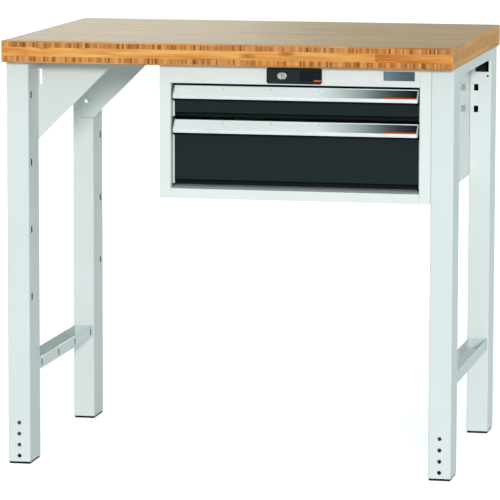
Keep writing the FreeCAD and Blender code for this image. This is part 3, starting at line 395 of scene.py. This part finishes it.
# The faces inside each leg tube are painted near-black: painted shade that makes its holes and slots look
# dark.
for corner in CORNERS:
    leg = softened(f"leg_{corner}", FRAME_EDGE, frame_paint, "frame_paint", "bench")
    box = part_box(f"leg_{corner}")
    paint_shade_on(leg, lambda middle, facing: depths(box, middle)[0] > INSIDE_DEPTH
              and depths(box, middle)[1] > CORNER_REACH)
for side, paint in (("left", crossbar_paint), ("right", frame_paint)):
    softened(f"top_rail_{side}", FRAME_EDGE, frame_paint, "frame_paint", "bench")
    crossbar = softened(f"crossbar_{side}", FRAME_EDGE, paint, "frame_paint", "bench")
    # Painted shade: the rims of the left crossbar's slots are painted near-black, so the slots look dark.
    paint_shade_on(crossbar, lambda middle, facing: abs(facing.y) > 0.8 and middle.x < 0
              and abs(middle.y) < SLOTS_END)
for end in ("front", "rear"):
    gusset = copied(f"gusset_{end}", f"gusset_{end}_finished")
    pick_edges(gusset, lambda middle, along: abs(abs(middle.y) - GUSSET_FACE) < ON_FACE and (
        middle.x < LAP_EDGE or middle.z < LAP_FOOT or (middle - GUSSET_SLOPE).xz.length < ON_SLOPE))
    bpy.ops.mesh.bevel(offset=GUSSET_ROUND, segments=2)
    close()
    smooth(gusset)
    # Painted shadow: the rounded lap edges on the leg are painted darker, as a shadow line along the lap.
    paint_shade_on(gusset, lambda middle, facing: 0.1 < abs(facing.y) < 0.97 and middle.x < LEG_EDGE, LAP_SHARE)
    fitted(gusset, frame_paint, "frame_paint", "bench", f"gusset_{end}")


# FEET
# Each leg stands on a zinc-plated tube that slides out of it in steps. A black moulded pad closes the tube:
# its spigot presses up into it, and its sole has a sunk tread and rounded corners.

# Drawn metal: fine lines along the way it was drawn, and dull clouds of the plating over them
drawn_metal, given, result = effect(
    "drawn_metal", {"Place": "Vector", "Along": "Vector"}, {"Lines": "Float", "Clouds": "Float"})
pulled = node(drawn_metal, "VectorMath", {0: given["Place"], 1: given["Along"]}, operation="MULTIPLY")
lines = node(drawn_metal, "TexNoise", {"Vector": pulled.outputs[0], "Scale": 1, "Detail": 3}).outputs["Fac"]
clouds = node(drawn_metal, "TexNoise", {"Vector": given["Place"], "Scale": 26, "Detail": 4}).outputs["Fac"]
drawn_metal.links.new(lines, result["Lines"])
drawn_metal.links.new(clouds, result["Clouds"])


def plated(name, dull, bright, along, rough):
    """A two-colour metal finish with drawn lines along one axis, and painted shade where marked."""
    made, tree, shader, place = finish(name, Metallic=1.0)
    metal = node(tree, "Group", {"Place": place["Object"], "Along": along}, node_tree=drawn_metal).outputs
    mixed = calculate(tree, "MULTIPLY_ADD", metal["Lines"], 0.5, calculate(
        tree, "MULTIPLY", metal["Clouds"], 0.5))
    plating = blended(tree, spread(tree, mixed, 0.3, 0.7), dull, bright)
    painted_shade = node(tree, "Attribute", attribute_name="painted_shade").outputs["Fac"]
    tree.links.new(blended(tree, painted_shade, plating, (0.012, 0.012, 0.013, 1)), shader.inputs["Base Color"])
    tree.links.new(spread(tree, mixed, 0.3, 0.7, rough + 0.06, rough - 0.06), shader.inputs["Roughness"])
    relief(tree, shader, metal["Lines"], 0.15, 0.03 * MM)
    return made


# Moulded plastic: the eroded grain of the mould
mould_grain, given, result = effect(
    "mould_grain", {"Place": "Vector"}, {"Roughness": "Float", "Tint": "Float", "Height": "Float"})
pits = node(mould_grain, "TexVoronoi", {"Vector": given["Place"], "Scale": 1400}).outputs["Distance"]
haze = node(mould_grain, "TexNoise", {"Vector": given["Place"], "Scale": 60, "Detail": 3}).outputs["Fac"]
mould_grain.links.new(spread(mould_grain, haze, 0.3, 0.7, 0.42, 0.58), result["Roughness"])
mould_grain.links.new(haze, result["Tint"])
mould_grain.links.new(pits, result["Height"])


def moulded(name, dark, light, **values):
    """A grained plastic finish between two colours."""
    made, tree, shader, place = finish(name, **values)
    grain = node(tree, "Group", {"Place": place["Object"]}, node_tree=mould_grain).outputs
    tree.links.new(blended(tree, grain["Tint"], dark, light), shader.inputs["Base Color"])
    tree.links.new(grain["Roughness"], shader.inputs["Roughness"])
    relief(tree, shader, grain["Height"], 0.2, 0.05 * MM)
    return made


def block(label, low, high):
    """A cube stretched between two corners."""
    bpy.ops.object.select_all(action="DESELECT")
    low, high = Vector(low), Vector(high)
    bpy.ops.mesh.primitive_cube_add(size=1, location=(low + high) / 2, scale=high - low)
    bpy.ops.object.transform_apply(location=True, rotation=True, scale=True)
    bpy.context.object.name = label
    return bpy.context.object


def pick_faces(piece, test):
    """Opens a piece in edit mode with the faces selected whose middle and normal pass a test."""
    unpicked(piece, "FACE")
    for face in piece.data.polygons:
        face.select = bool(test(face.center, face.normal))
    bpy.ops.object.mode_set(mode="EDIT")


PAD_CORNER = 3 * MM
PAD_EDGE = 0.9 * MM
SOLE_HEIGHT = 5 * MM
SPIGOT_STEP = 3.3 * MM
SPIGOT_HEIGHT = 15 * MM
TREAD_EDGE = 5 * MM
TREAD_SUNK = 1.2 * MM
foot_zinc = plated("foot_zinc", (0.44, 0.46, 0.48, 1), (0.66, 0.67, 0.68, 1), (1500, 1500, 25), 0.36)
foot_plastic = moulded("foot_plastic", (0.006, 0.007, 0.008, 1), (0.012, 0.013, 0.014, 1),
                       Specular_IOR_Level=0.1)
low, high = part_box(f"foot_pad_{CORNERS[0]}")
pad = block("foot_pad", low, (high.x, high.y, low.z + SOLE_HEIGHT))
pick_edges(pad, lambda middle, along: abs(along.z) > 0.9)
bpy.ops.mesh.bevel(offset=PAD_CORNER, segments=4)
close()
pick_faces(pad, lambda middle, facing: facing.z > 0.9)
bpy.ops.mesh.inset(thickness=SPIGOT_STEP)
bpy.ops.mesh.extrude_region_move(TRANSFORM_OT_translate={"value": (0, 0, SPIGOT_HEIGHT)})
close()
pick_faces(pad, lambda middle, facing: facing.z < -0.9)
bpy.ops.mesh.inset(thickness=TREAD_EDGE)
bpy.ops.mesh.extrude_region_move(TRANSFORM_OT_translate={"value": (0, 0, TREAD_SUNK)})
close()
modified(pad, "BEVEL", width=PAD_EDGE, segments=3, limit_method="ANGLE", angle_limit=math.radians(50))
smooth(pad)
for corner in CORNERS:
    coat(foot_zinc, f"foot_insert_{corner}")
    corner_pad = repeated(pad, f"foot_pad_{corner}_finished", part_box(f"foot_pad_{corner}")[0] - low)
    fitted(corner_pad, foot_plastic, "foot_plastic", f"foot_{corner}", f"foot_pad_{corner}")
bpy.data.objects.remove(pad)


# FIXINGS
# Zinc-plated bolts with round heads and hexagon sockets hold the gussets and the cabinet to the legs, with
# nuts inside the legs. Pan-head screws with a cross recess go up into the worktop from below.

SHANK_EDGE = 0.6 * MM


def bar(label, radius, low, high, sides=32):
    """An upright round bar about the Z axis."""
    bpy.ops.object.select_all(action="DESELECT")
    bpy.ops.mesh.primitive_cylinder_add(vertices=sides, radius=radius, depth=high - low,
                                        location=(0, 0, (low + high) / 2))
    bpy.ops.object.transform_apply(location=True, rotation=True, scale=True)
    bpy.context.object.name = label
    return bpy.context.object


def cut_out(piece, *cutters):
    """Takes cutters out of a piece."""
    for cutter in cutters:
        modified(piece, "BOOLEAN", operation="DIFFERENCE", object=cutter, solver="EXACT")
        bpy.data.objects.remove(cutter)


def headed(label, head_radius, head_height, dome, shank_radius, shank_length):
    """A domed head below the origin with a shank going up from it."""
    piece = bar(label, head_radius, -head_height, 0)
    pick_edges(piece, lambda middle, along: middle.z < -head_height * 0.99)
    bpy.ops.mesh.bevel(offset=dome, segments=6)
    close()
    pick_faces(piece, lambda middle, facing: facing.z > 0.9)
    bpy.ops.mesh.inset(thickness=head_radius - shank_radius)
    bpy.ops.mesh.extrude_region_move(TRANSFORM_OT_translate={"value": (0, 0, shank_length)})
    close()
    pick_edges(piece, lambda middle, along: middle.z > shank_length * 0.99)
    bpy.ops.mesh.bevel(offset=SHANK_EDGE, segments=2)
    close()
    return piece


def set_in(model, label, places):
    """Joins copies of a model, each with its foot at a spot in mm and its Z axis along a direction."""
    copies = []
    for spot, direction in places:
        copy = repeated(model, label)
        turn = Vector(direction).to_track_quat("Z", "Y").to_matrix().to_4x4()
        copy.matrix_world = Matrix.Translation(Vector(spot) * MM) @ turn
        bpy.ops.object.transform_apply(location=True, rotation=True, scale=True)
        copies.append(copy)
    bpy.data.objects.remove(model)
    alone(copies[0])
    for copy in copies:
        copy.select_set(True)
    bpy.ops.object.join()
    smooth(copies[0])
    return copies[0]


fixing_zinc = plated("fixing_zinc", (0.72, 0.73, 0.74, 1), (0.95, 0.955, 0.96, 1), (700, 700, 700), 0.24)
TO_FRONT, TO_BACK, TO_RIGHT, UP = (0, -1, 0), (0, 1, 0), (1, 0, 0), (0, 0, 1)
BOLT_HEAD = 4 * MM
HEXAGON_RADIUS = 2.6 * MM
HEXAGON_END = -1.8 * MM
GUSSET_BOLTS = [((-463, -247, 761), TO_FRONT), ((-463, 247, 761), TO_BACK)]
CABINET_BOLTS = [((446.5, y, z), TO_RIGHT) for y in (-317, 317) for z in (825, 675)]
bolt = headed("bolt", head_radius=5.5 * MM, head_height=BOLT_HEAD, dome=2.6 * MM,
              shank_radius=4 * MM, shank_length=17.9 * MM)
cut_out(bolt, bar("hexagon_key", HEXAGON_RADIUS, -BOLT_HEAD - MM, HEXAGON_END, sides=6))
cabinet_bolt = repeated(bolt, "cabinet_bolt")
gusset_bolts = set_in(bolt, "gusset_bolts_finished", GUSSET_BOLTS)
fitted(gusset_bolts, fixing_zinc, "fixings", "bench", "gusset_bolts")
cabinet_bolts = set_in(cabinet_bolt, "cabinet_bolts_finished", CABINET_BOLTS)
fitted(cabinet_bolts, fixing_zinc, "fixings", "bench", "cabinet_bolts")
coat(fixing_zinc, "leg_nuts")

SCREW_HEAD = 3 * MM
CROSS_FOOT = -SCREW_HEAD - MM
CROSS_END = -1.4 * MM
CROSS_HALF = 2.6 * MM
BLADE_HALF = 0.5 * MM
RAIL_SCREWS = ((-473, 473), (-150, 150), 898)
GUSSET_SCREWS = ((-408, -308), (-231.5, 231.5), 897)
CABINET_SCREWS = ((-92, 388), (-240, 240), 898.5)
screw = headed("screw", head_radius=5 * MM, head_height=SCREW_HEAD, dome=1.8 * MM,
               shank_radius=2.5 * MM, shank_length=31.4 * MM)
cut_out(screw,
        block("slot_across", (-CROSS_HALF, -BLADE_HALF, CROSS_FOOT), (CROSS_HALF, BLADE_HALF, CROSS_END)),
        block("slot_along", (-BLADE_HALF, -CROSS_HALF, CROSS_FOOT), (BLADE_HALF, CROSS_HALF, CROSS_END)))
screw_places = [((x, y, height), UP) for across, deep, height in (RAIL_SCREWS, GUSSET_SCREWS, CABINET_SCREWS)
                for x in across for y in deep]
worktop_screws = set_in(screw, "worktop_screws_finished", screw_places)
fitted(worktop_screws, fixing_zinc, "fixings", "bench", "worktop_screws")


# CROSSBAR TABS
# The floor of each crossbar ends in a tab folded up against the leg, where it is welded. Each is bent from a
# strip of the same sheet, with rounded upper corners, and coated in a darker, bluer grey than the frame:
# a painted shade for the trough's shade.

TAB_HALF = 20.4 * MM
TAB_TOP = 25.6 * MM
TAB_FOOT = 12 * MM
TAB_SHEET = 2 * MM
TAB_CORNER = 3 * MM
TAB_EDGE = 0.7 * MM
TAB_ACROSS, TAB_DEEP, TAB_LEVEL = 473, 249.9, 199
# Painted shade: the tabs' paint is a darker, bluer grey than the frame's.
tab_shade_paint = painted("tab_shade_paint", (0.565, 0.645, 0.637, 1))
tab = block("tab", (-TAB_HALF, TAB_SHEET, 0), (TAB_HALF, TAB_TOP, TAB_FOOT))
cut_out(tab, block("tab_room", (-2 * TAB_HALF, 2 * TAB_SHEET, TAB_SHEET),
                   (2 * TAB_HALF, 2 * TAB_TOP, 2 * TAB_FOOT)))
pick_edges(tab, lambda middle, along: abs(along.z) > 0.9 and middle.y > TAB_TOP * 0.9)
bpy.ops.mesh.bevel(offset=TAB_CORNER, segments=4)
close()
modified(tab, "BEVEL", width=TAB_EDGE, segments=2, limit_method="ANGLE", angle_limit=math.radians(50))
right_tab = repeated(tab, "right_tab")
for side, model, across in (("left", tab, -TAB_ACROSS), ("right", right_tab, TAB_ACROSS)):
    tabs = set_in(model, f"crossbar_{side}_tabs", [((across, -TAB_DEEP, TAB_LEVEL), TO_BACK),
                                                   ((across, TAB_DEEP, TAB_LEVEL), TO_FRONT)])
    fitted(tabs, tab_shade_paint, "frame_paint", "bench")


# CABINET
# A folded sheet box under the right half of the worktop. Its side sheets turn round into the front posts,
# and a fascia and a sill are welded between them. It is powder coated in a lighter grey than the frame, and
# smoother on the side sheets, which mirror the legs a little.

CABINET_GREY = (0.765, 0.803, 0.793, 1)
CABINET_DULLNESS = 0.42
CABINET_EDGE = 0.4 * MM
SILL_SHARE = 0.2
cabinet_paint = painted("cabinet_paint", CABINET_GREY, dullness=CABINET_DULLNESS)
side_paint = painted("side_paint", CABINET_GREY, dullness=CABINET_DULLNESS,
                     Coat_Weight=0.75, Coat_Roughness=0.04, Coat_IOR=1.22)
for side in ("left", "right"):
    softened(f"cabinet_side_{side}", CABINET_EDGE, side_paint, "cabinet_paint", "bench")
softened("cabinet_fascia", CABINET_EDGE, cabinet_paint, "cabinet_paint", "bench")
sill = softened("cabinet_sill", CABINET_EDGE, cabinet_paint, "cabinet_paint", "bench")
# Painted shade: the sill's top face is painted a little darker, for the shade under the drawer fronts.
paint_shade_on(sill, lambda middle, facing: facing.z > 0.9, SILL_SHARE)
coat(cabinet_paint, "cabinet_top", "cabinet_floor", "cabinet_back")


# LOCK PLATE, BADGE AND NAME PLATE
# A moulded anthracite plate with a raised rim is clipped to the fascia round the lock. It carries a bare
# glossy black panel with an orange flash in its lower corner. A bare blue-grey name plate is stuck on at the
# right.

PLATE_CORNER = 5.5 * MM
PLATE_RIM = 1.3 * MM
PLATE_SUNK = 0.5 * MM
PLATE_EDGE = 0.35 * MM
OVAL_RADIUS = 7.5 * MM
OVAL_REACH = 3 * MM
OVAL_HALF = 20 * MM
low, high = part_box("lock_plate")
plate = block("lock_plate_finished", low, high)
pick_edges(plate, lambda middle, along: abs(along.y) > 0.9)
bpy.ops.mesh.bevel(offset=PLATE_CORNER, segments=6)
close()
pick_faces(plate, lambda middle, facing: facing.y < -0.9)
bpy.ops.mesh.inset(thickness=PLATE_RIM)
bpy.ops.mesh.extrude_region_move(TRANSFORM_OT_translate={"value": (0, PLATE_SUNK, 0)})
close()
lock_middle = sum(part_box("lock_housing"), Vector()) / 2
oval = bar("oval_hole", OVAL_RADIUS, -OVAL_HALF, OVAL_HALF, sides=48)
for sign in (-1, 1):
    unpicked(oval, "VERT")
    for corner in oval.data.vertices:
        corner.select = corner.co.x * sign > 0.01 * MM
    bpy.ops.object.mode_set(mode="EDIT")
    bpy.ops.transform.translate(value=(sign * OVAL_REACH, 0, 0))
    close()
alone(oval)
oval.rotation_euler = (math.pi / 2, 0, 0)
oval.location = lock_middle
bpy.ops.object.transform_apply(location=True, rotation=True, scale=True)
cut_out(plate, oval)
modified(plate, "BEVEL", width=PLATE_EDGE, segments=2, limit_method="ANGLE", angle_limit=math.radians(50))
smooth(plate)
plate_plastic = moulded("plate_plastic", (0.013, 0.022, 0.024, 1), (0.02, 0.031, 0.034, 1),
                        Specular_IOR_Level=0.05)
fitted(plate, plate_plastic, "lock_plate_plastic", "bench", "lock_plate")

BADGE_EDGE = 0.3 * MM
FLASH_LENGTH = 16 * MM
FLASH_HEIGHT = 3.4 * MM
low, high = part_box("lock_badge")
badge = block("lock_badge_finished", low, high)
modified(badge, "BEVEL", width=BADGE_EDGE, segments=3, limit_method="ANGLE")
smooth(badge)
badge_gloss, tree, shader, place = finish("badge_gloss", Specular_IOR_Level=0.06)
x, _, z = axes(tree, place["Object"])
flash = calculate(tree, "MULTIPLY", calculate(tree, "GREATER_THAN", x, high.x - FLASH_LENGTH),
                  calculate(tree, "LESS_THAN", z, low.z + FLASH_HEIGHT))
smudge = node(tree, "TexNoise", {"Vector": place["Object"], "Scale": 90, "Detail": 4}).outputs["Fac"]
black = blended(tree, smudge, (0.007, 0.009, 0.011, 1), (0.012, 0.015, 0.017, 1))
tree.links.new(blended(tree, flash, black, (0.72, 0.115, 0.018, 1)), shader.inputs["Base Color"])
tree.links.new(spread(tree, smudge, 0.3, 0.7, 0.1, 0.2), shader.inputs["Roughness"])
fitted(badge, badge_gloss, "badge_plastic", "bench", "lock_badge")

NAME_RIM = 0.9 * MM
NAME_SUNK = 0.25 * MM
NAME_EDGE = 0.2 * MM
low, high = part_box("name_plate")
name_plate = block("name_plate_finished", low, high)
pick_faces(name_plate, lambda middle, facing: facing.y < -0.9)
bpy.ops.mesh.inset(thickness=NAME_RIM)
bpy.ops.mesh.extrude_region_move(TRANSFORM_OT_translate={"value": (0, NAME_SUNK, 0)})
close()
modified(name_plate, "BEVEL", width=NAME_EDGE, segments=2, limit_method="ANGLE")
smooth(name_plate)
name_sheet, tree, shader, place = finish("name_sheet", Specular_IOR_Level=0.15)
metal = node(tree, "Group", {"Place": place["Object"], "Along": (30, 900, 900)},
             node_tree=drawn_metal).outputs
x = axes(tree, place["Object"])[0]
# Painted sheen: the plate runs from light at its left end to dark at its right, with the drawn lines over
# it.
sheen = calculate(tree, "MULTIPLY_ADD", metal["Lines"], 0.3, spread(tree, x, low.x, high.x, 0.75, 0.05))
tint = shades(tree, sheen, (0.1, (0.055, 0.09, 0.115, 1)), (0.6, (0.1, 0.15, 0.18, 1)),
              (1.0, (0.17, 0.225, 0.255, 1)))
tree.links.new(tint, shader.inputs["Base Color"])
tree.links.new(spread(tree, metal["Lines"], 0.3, 0.7, 0.3, 0.42), shader.inputs["Roughness"])
fitted(name_plate, name_sheet, "name_plastic", "bench", "name_plate")


# LOCK
# A plated oval cylinder with a keyed plug that turns in it. Behind the fascia a zinc-plated rod and cam lift
# the lock bar, whose two welded hooks catch the drawers; folded guides hold the bar to the cabinet's back.

HOUSING_EDGE = 0.6 * MM
PLUG_EDGE = 0.2 * MM
KEY_REACH = 4.6 * MM
KEY_FRONT = 0.3 * MM
KEY_BACK = 1 * MM
lock_nickel = plated("lock_nickel", (0.2, 0.215, 0.22, 1), (0.42, 0.44, 0.45, 1), (300, 300, 300), 0.36)
softened("lock_housing", HOUSING_EDGE, lock_nickel, "lock_metal", "bench")
plug = softened("lock_plug", PLUG_EDGE, lock_nickel, "lock_metal", "lock")
low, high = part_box("lock_plug")
plug_middle = (low + high) / 2
# Painted shade: the faces inside the plug's keyway are painted near-black.
paint_shade_on(plug, lambda middle, facing: low.y + KEY_FRONT < middle.y < high.y - KEY_BACK
          and math.hypot(middle.x - plug_middle.x, middle.z - plug_middle.z) < KEY_REACH)
lock_zinc = plated("lock_zinc", (0.46, 0.47, 0.48, 1), (0.68, 0.69, 0.7, 1), (900, 900, 30), 0.34)
coat(lock_zinc, "lock_rod", "lock_cam", "lock_bar", "lock_hooks", "lock_bar_guides")


# DRAWERS
# Folded sheet trays with hemmed rims, and flanges beside anthracite fronts bent back at the foot. The handle
# is a drawn aluminium strip over a near-black strip, a painted shade for the dark bands around it. Its
# sloped bed holds a printed label under a clear cover, and moulded caps close its ends.

tray_paint = painted("tray_paint", PALE_GREY)
front_paint = painted("front_paint", (0.0155, 0.0245, 0.0268, 1), gloss=0.03, shade_colour=(0.002, 0.003, 0.003, 1))
handle_metal = plated("handle_metal", (0.46, 0.49, 0.49, 1), (0.57, 0.6, 0.6, 1), (20, 1400, 1400), 0.48)
cap_plastic = moulded("cap_plastic", (0.56, 0.6, 0.6, 1), (0.64, 0.68, 0.68, 1))
shade_strip_plastic = moulded("shade_strip_plastic", (0.004, 0.006, 0.007, 1), (0.008, 0.011, 0.012, 1),
                       Specular_IOR_Level=0.05)
cover_clear = moulded("cover_clear", (0.12, 0.13, 0.13, 1), (0.16, 0.17, 0.17, 1), Alpha=0.02)
RIM_WIDTH = 9 * MM
HEM_HEIGHT = 6 * MM
TRAY_SHEET = 1.2 * MM
TRAY_ROUND = 1.6 * MM
FIELD_PITCH = 107 * MM
MARK_HALF = 0.9 * MM
MARK_START = 20 * MM
MARK_FOOT = 7 * MM
MARK_TOP = 1.5 * MM
FADE_LENGTH = 222 * MM
ORANGE_LENGTH = 74 * MM
ORANGE_HEIGHT = 2.8 * MM
COVER_GAP = (0, -0.1 * MM, 0.085 * MM)
COVER_EDGE = 0.1 * MM
FLANGE_REACH = 3.8 * MM
FLANGE_EDGE = 0.3 * MM
FLANGE_SHARE = 0.95
FRONT_EDGE = 0.5 * MM
FOOT_HEIGHT = 10 * MM
FOOT_SHADE = 12.5 * MM
FOOT_SHARE = 0.7
STRIP_DROP = 6.5 * MM
STRIP_THICK = 2.6 * MM
STRIP_OVERLAP = 7.8 * MM
STRIP_CORNER = 3 * MM
STRIP_EDGE = 0.4 * MM
HANDLE_EDGE = 0.35 * MM
CAP_EDGE = 0.4 * MM


def printed(drawer):
    """A pale label with small marks at its upper edge, fading to black over an orange line at the right."""
    low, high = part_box(f"{drawer}_label")
    made, tree, shader, place = finish(f"{drawer}_label_print", Roughness=0.5, Specular_IOR_Level=0.1)
    x, _, z = axes(tree, place["Object"])
    paper = node(tree, "TexNoise", {"Vector": place["Object"], "Scale": 700, "Detail": 3}).outputs["Fac"]
    ground = blended(tree, paper, (0.87, 0.915, 0.905, 1), (0.91, 0.955, 0.945, 1))
    field = calculate(tree, "FRACT", calculate(tree, "DIVIDE", calculate(
        tree, "SUBTRACT", x, low.x - FIELD_PITCH / 2), FIELD_PITCH))
    beside = calculate(tree, "ABSOLUTE", calculate(tree, "SUBTRACT", field, 0.5))
    mark = calculate(tree, "LESS_THAN", beside, MARK_HALF / FIELD_PITCH)
    mark = calculate(tree, "MULTIPLY", mark, calculate(tree, "GREATER_THAN", z, high.z - MARK_FOOT))
    mark = calculate(tree, "MULTIPLY", mark, calculate(tree, "LESS_THAN", z, high.z - MARK_TOP))
    mark = calculate(tree, "MULTIPLY", mark, calculate(tree, "GREATER_THAN", x, low.x + MARK_START))
    print_colour = blended(tree, calculate(tree, "MULTIPLY", mark, 0.6), ground, (0.3, 0.34, 0.34, 1))
    fade = calculate(tree, "DIVIDE", calculate(tree, "SUBTRACT", x, high.x - FADE_LENGTH), FADE_LENGTH)
    ink = shades(tree, fade, (0.0, (0.9, 0.945, 0.935, 1)), (0.2, (0.655, 0.74, 0.735, 1)),
                 (0.44, (0.363, 0.447, 0.445, 1)), (0.56, (0.202, 0.266, 0.27, 1)),
                 (0.7, (0.086, 0.119, 0.123, 1)), (0.8, (0.038, 0.056, 0.057, 1)),
                 (1.0, (0.002, 0.003, 0.004, 1)))
    print_colour = blended(tree, spread(tree, fade, 0.0, 0.1), print_colour, ink)
    line = calculate(tree, "MULTIPLY", calculate(tree, "GREATER_THAN", x, high.x - ORANGE_LENGTH),
                     calculate(tree, "LESS_THAN", z, low.z + ORANGE_HEIGHT))
    print_colour = blended(tree, line, print_colour, (0.7, 0.075, 0.005, 1))
    tree.links.new(print_colour, shader.inputs["Base Color"])
    return made


front_low, front_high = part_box("upper_front")
handle_low, handle_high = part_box("upper_handle")
# Painted shade: a near-black strip below each handle's lip and in the gaps beside its ends.
shade_strip = block("handle_shade_strip", (front_low.x - FLANGE_REACH, front_low.y - STRIP_THICK, handle_low.z - STRIP_DROP),
             (front_high.x + FLANGE_REACH, front_low.y, handle_high.z))
pick_edges(shade_strip, lambda middle, along: abs(along.y) > 0.9)
bpy.ops.mesh.bevel(offset=STRIP_CORNER, segments=5)
close()
cut_out(shade_strip, block("handle_room", (front_low.x, handle_low.y, handle_low.z + STRIP_OVERLAP),
                    (front_high.x, handle_high.y + MM, handle_high.z + MM)))
modified(shade_strip, "BEVEL", width=STRIP_EDGE, segments=2, limit_method="ANGLE", angle_limit=math.radians(50))
smooth(shade_strip)

for drawer in ("upper", "lower"):
    body = f"{drawer}_drawer"
    low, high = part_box(f"{drawer}_tray")
    tray = block(f"{drawer}_tray_finished", low, high)
    pick_faces(tray, lambda middle, facing: facing.z > 0.9)
    bpy.ops.mesh.inset(thickness=RIM_WIDTH)
    bpy.ops.mesh.extrude_region_move(TRANSFORM_OT_translate={"value": (0, 0, -HEM_HEIGHT)})
    bpy.ops.mesh.delete(type="FACE")
    close()
    modified(tray, "BEVEL", width=TRAY_ROUND, segments=3, limit_method="ANGLE", angle_limit=math.radians(50))
    modified(tray, "SOLIDIFY", thickness=TRAY_SHEET, offset=-1)
    front_low, front_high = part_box(f"{drawer}_front")
    flanges = []
    for inner, outer in ((low.x, front_low.x - FLANGE_REACH), (high.x, front_high.x + FLANGE_REACH)):
        flange = block("flange", (min(inner, outer), low.y, front_low.z),
                       (max(inner, outer), low.y + TRAY_SHEET, high.z))
        cut_out(flange, block("foot_room", (front_low.x, low.y - MM, front_low.z - MM),
                              (front_high.x, low.y + 2 * MM, front_low.z + FOOT_HEIGHT)))
        modified(flange, "BEVEL", width=FLANGE_EDGE, segments=2, limit_method="ANGLE")
        flanges.append(flange)
    alone(tray)
    for flange in flanges:
        flange.select_set(True)
    bpy.ops.object.join()
    smooth(tray)
    # Painted shade: the right-hand flange is painted near-black, for the post's shade on it.
    paint_shade_on(tray, lambda middle, facing: middle.x > front_high.x and middle.z > front_low.z
              and middle.y < low.y + 2 * TRAY_SHEET, FLANGE_SHARE)
    fitted(tray, tray_paint, "tray_paint", body, f"{drawer}_tray")
    coat(tray_paint, f"{drawer}_catch")

    front = softened(f"{drawer}_front", FRONT_EDGE, front_paint, "front_paint", body)
    # Painted shade: the front's set-back foot is painted darker, for the shade on it.
    paint_shade_on(front, lambda middle, facing: middle.z < front_low.z + FOOT_SHADE, FOOT_SHARE)
    softened(f"{drawer}_handle", HANDLE_EDGE, handle_metal, "handle_metal", body)
    softened(f"{drawer}_handle_caps", CAP_EDGE, cap_plastic, "cap_plastic", body)
    drawer_shade_strip = repeated(shade_strip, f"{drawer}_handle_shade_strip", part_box(f"{drawer}_handle")[0] - handle_low)
    fitted(drawer_shade_strip, shade_strip_plastic, "lock_plate_plastic", body)
    coat(printed(drawer), f"{drawer}_label")
    cover = softened(f"{drawer}_label_cover", COVER_EDGE, cover_clear, "cover_plastic", body)
    cover.data.transform(Matrix.Translation(COVER_GAP))
bpy.data.objects.remove(shade_strip)


# RUNNERS
# On each side of each drawer three channels of zinc-plated strip run one inside another: the outer one is
# fixed to the cabinet, the middle one travels half the way, and the inner one is screwed to the tray.

runner_zinc = plated("runner_zinc", (0.46, 0.48, 0.5, 1), (0.7, 0.72, 0.74, 1), (1300, 20, 1300), 0.3)
for drawer in ("upper", "lower"):
    coat(runner_zinc, *(f"{drawer}_{kind}_rails" for kind in ("fixed", "middle", "drawer")))


# STUDIO
# A plain white floor that can be looked through from below, and soft light from the front and above. The
# camera stands at the photograph's angle.

def looked_at(tree):
    """1 for rays from the camera, mirrored rays and rays through clear pieces, and 0 for other light."""
    path = node(tree, "LightPath").outputs
    direct = calculate(tree, "MAXIMUM", path["Is Camera Ray"], path["Is Glossy Ray"])
    return calculate(tree, "MAXIMUM", direct, path["Is Transmission Ray"])


FLOOR_GLOW = 0.6
KEY_FROM = Vector((0.23, -0.95, 0.185))
CEILING_FROM = Vector((0.1, -0.25, 0.96))
SHEEN_SPOT = Vector((-3.5, 8.0, 1.9))
SHEEN_AIM = Vector((0, 0, 0.8))
bpy.ops.object.select_all(action="DESELECT")
bpy.ops.mesh.primitive_plane_add(size=160)
floor = bpy.context.object
floor.name = "studio_floor"
floor_paint, tree, shader, _ = finish("floor_paint", Base_Color=(0.8, 0.8, 0.8, 1), Roughness=0.9,
                                      Specular_IOR_Level=0.0)
glow = node(tree, "Emission", {"Strength": calculate(tree, "MULTIPLY", looked_at(tree), FLOOR_GLOW)})
both = node(tree, "AddShader", {0: shader.outputs[0], 1: glow.outputs[0]})
below = node(tree, "NewGeometry").outputs["Backfacing"]
clear = node(tree, "BsdfTransparent").outputs[0]
open_below = node(tree, "MixShader", {0: below, 1: both.outputs[0], 2: clear})
tree.links.new(open_below.outputs[0], tree.nodes["Material Output"].inputs["Surface"])
floor.data.materials.append(floor_paint)

world = bpy.data.worlds.new("studio")
bpy.context.scene.world = world
world.use_nodes = True
tree = world.node_tree
daylight = blended(tree, looked_at(tree), (0.355, 0.465, 0.47, 1), (1, 1, 1, 1))
tree.links.new(daylight, tree.nodes["Background"].inputs["Color"])
tree.nodes["Background"].inputs["Strength"].default_value = 1.0

bpy.ops.object.light_add(type="SUN")
key = bpy.context.object
key.name = "key_light"
key.data.energy = 1.84
key.data.color = (1, 0.95, 0.945)
key.data.angle = math.radians(8)
key.rotation_euler = KEY_FROM.to_track_quat("Z", "Y").to_euler()

bpy.ops.object.light_add(type="SUN")
ceiling = bpy.context.object
ceiling.name = "ceiling_light"
ceiling.data.energy = 0.49
ceiling.data.angle = math.radians(60)
ceiling.rotation_euler = CEILING_FROM.to_track_quat("Z", "Y").to_euler()

bpy.ops.object.light_add(type="AREA", location=SHEEN_SPOT)
sheen_light = bpy.context.object
sheen_light.name = "sheen_light"
sheen_light.data.shape = "RECTANGLE"
sheen_light.data.size = 4
sheen_light.data.size_y = 3
sheen_light.data.energy = 140
sheen_light.data.color = (0.93, 1, 1)
sheen_light.visible_camera = False
sheen_light.rotation_euler = (SHEEN_SPOT - SHEEN_AIM).to_track_quat("Z", "Y").to_euler()

bpy.ops.object.camera_add(location=(1.6241, -8.0561, 1.5407),
                          rotation=[math.radians(turn) for turn in (82.44498, -0.14275, 11.54293)])
camera = bpy.context.object
camera.data.sensor_width = 36
camera.data.lens = 261.6
camera.data.clip_end = 400
bpy.context.scene.camera = camera
bpy.context.scene.view_settings.view_transform = "Standard"
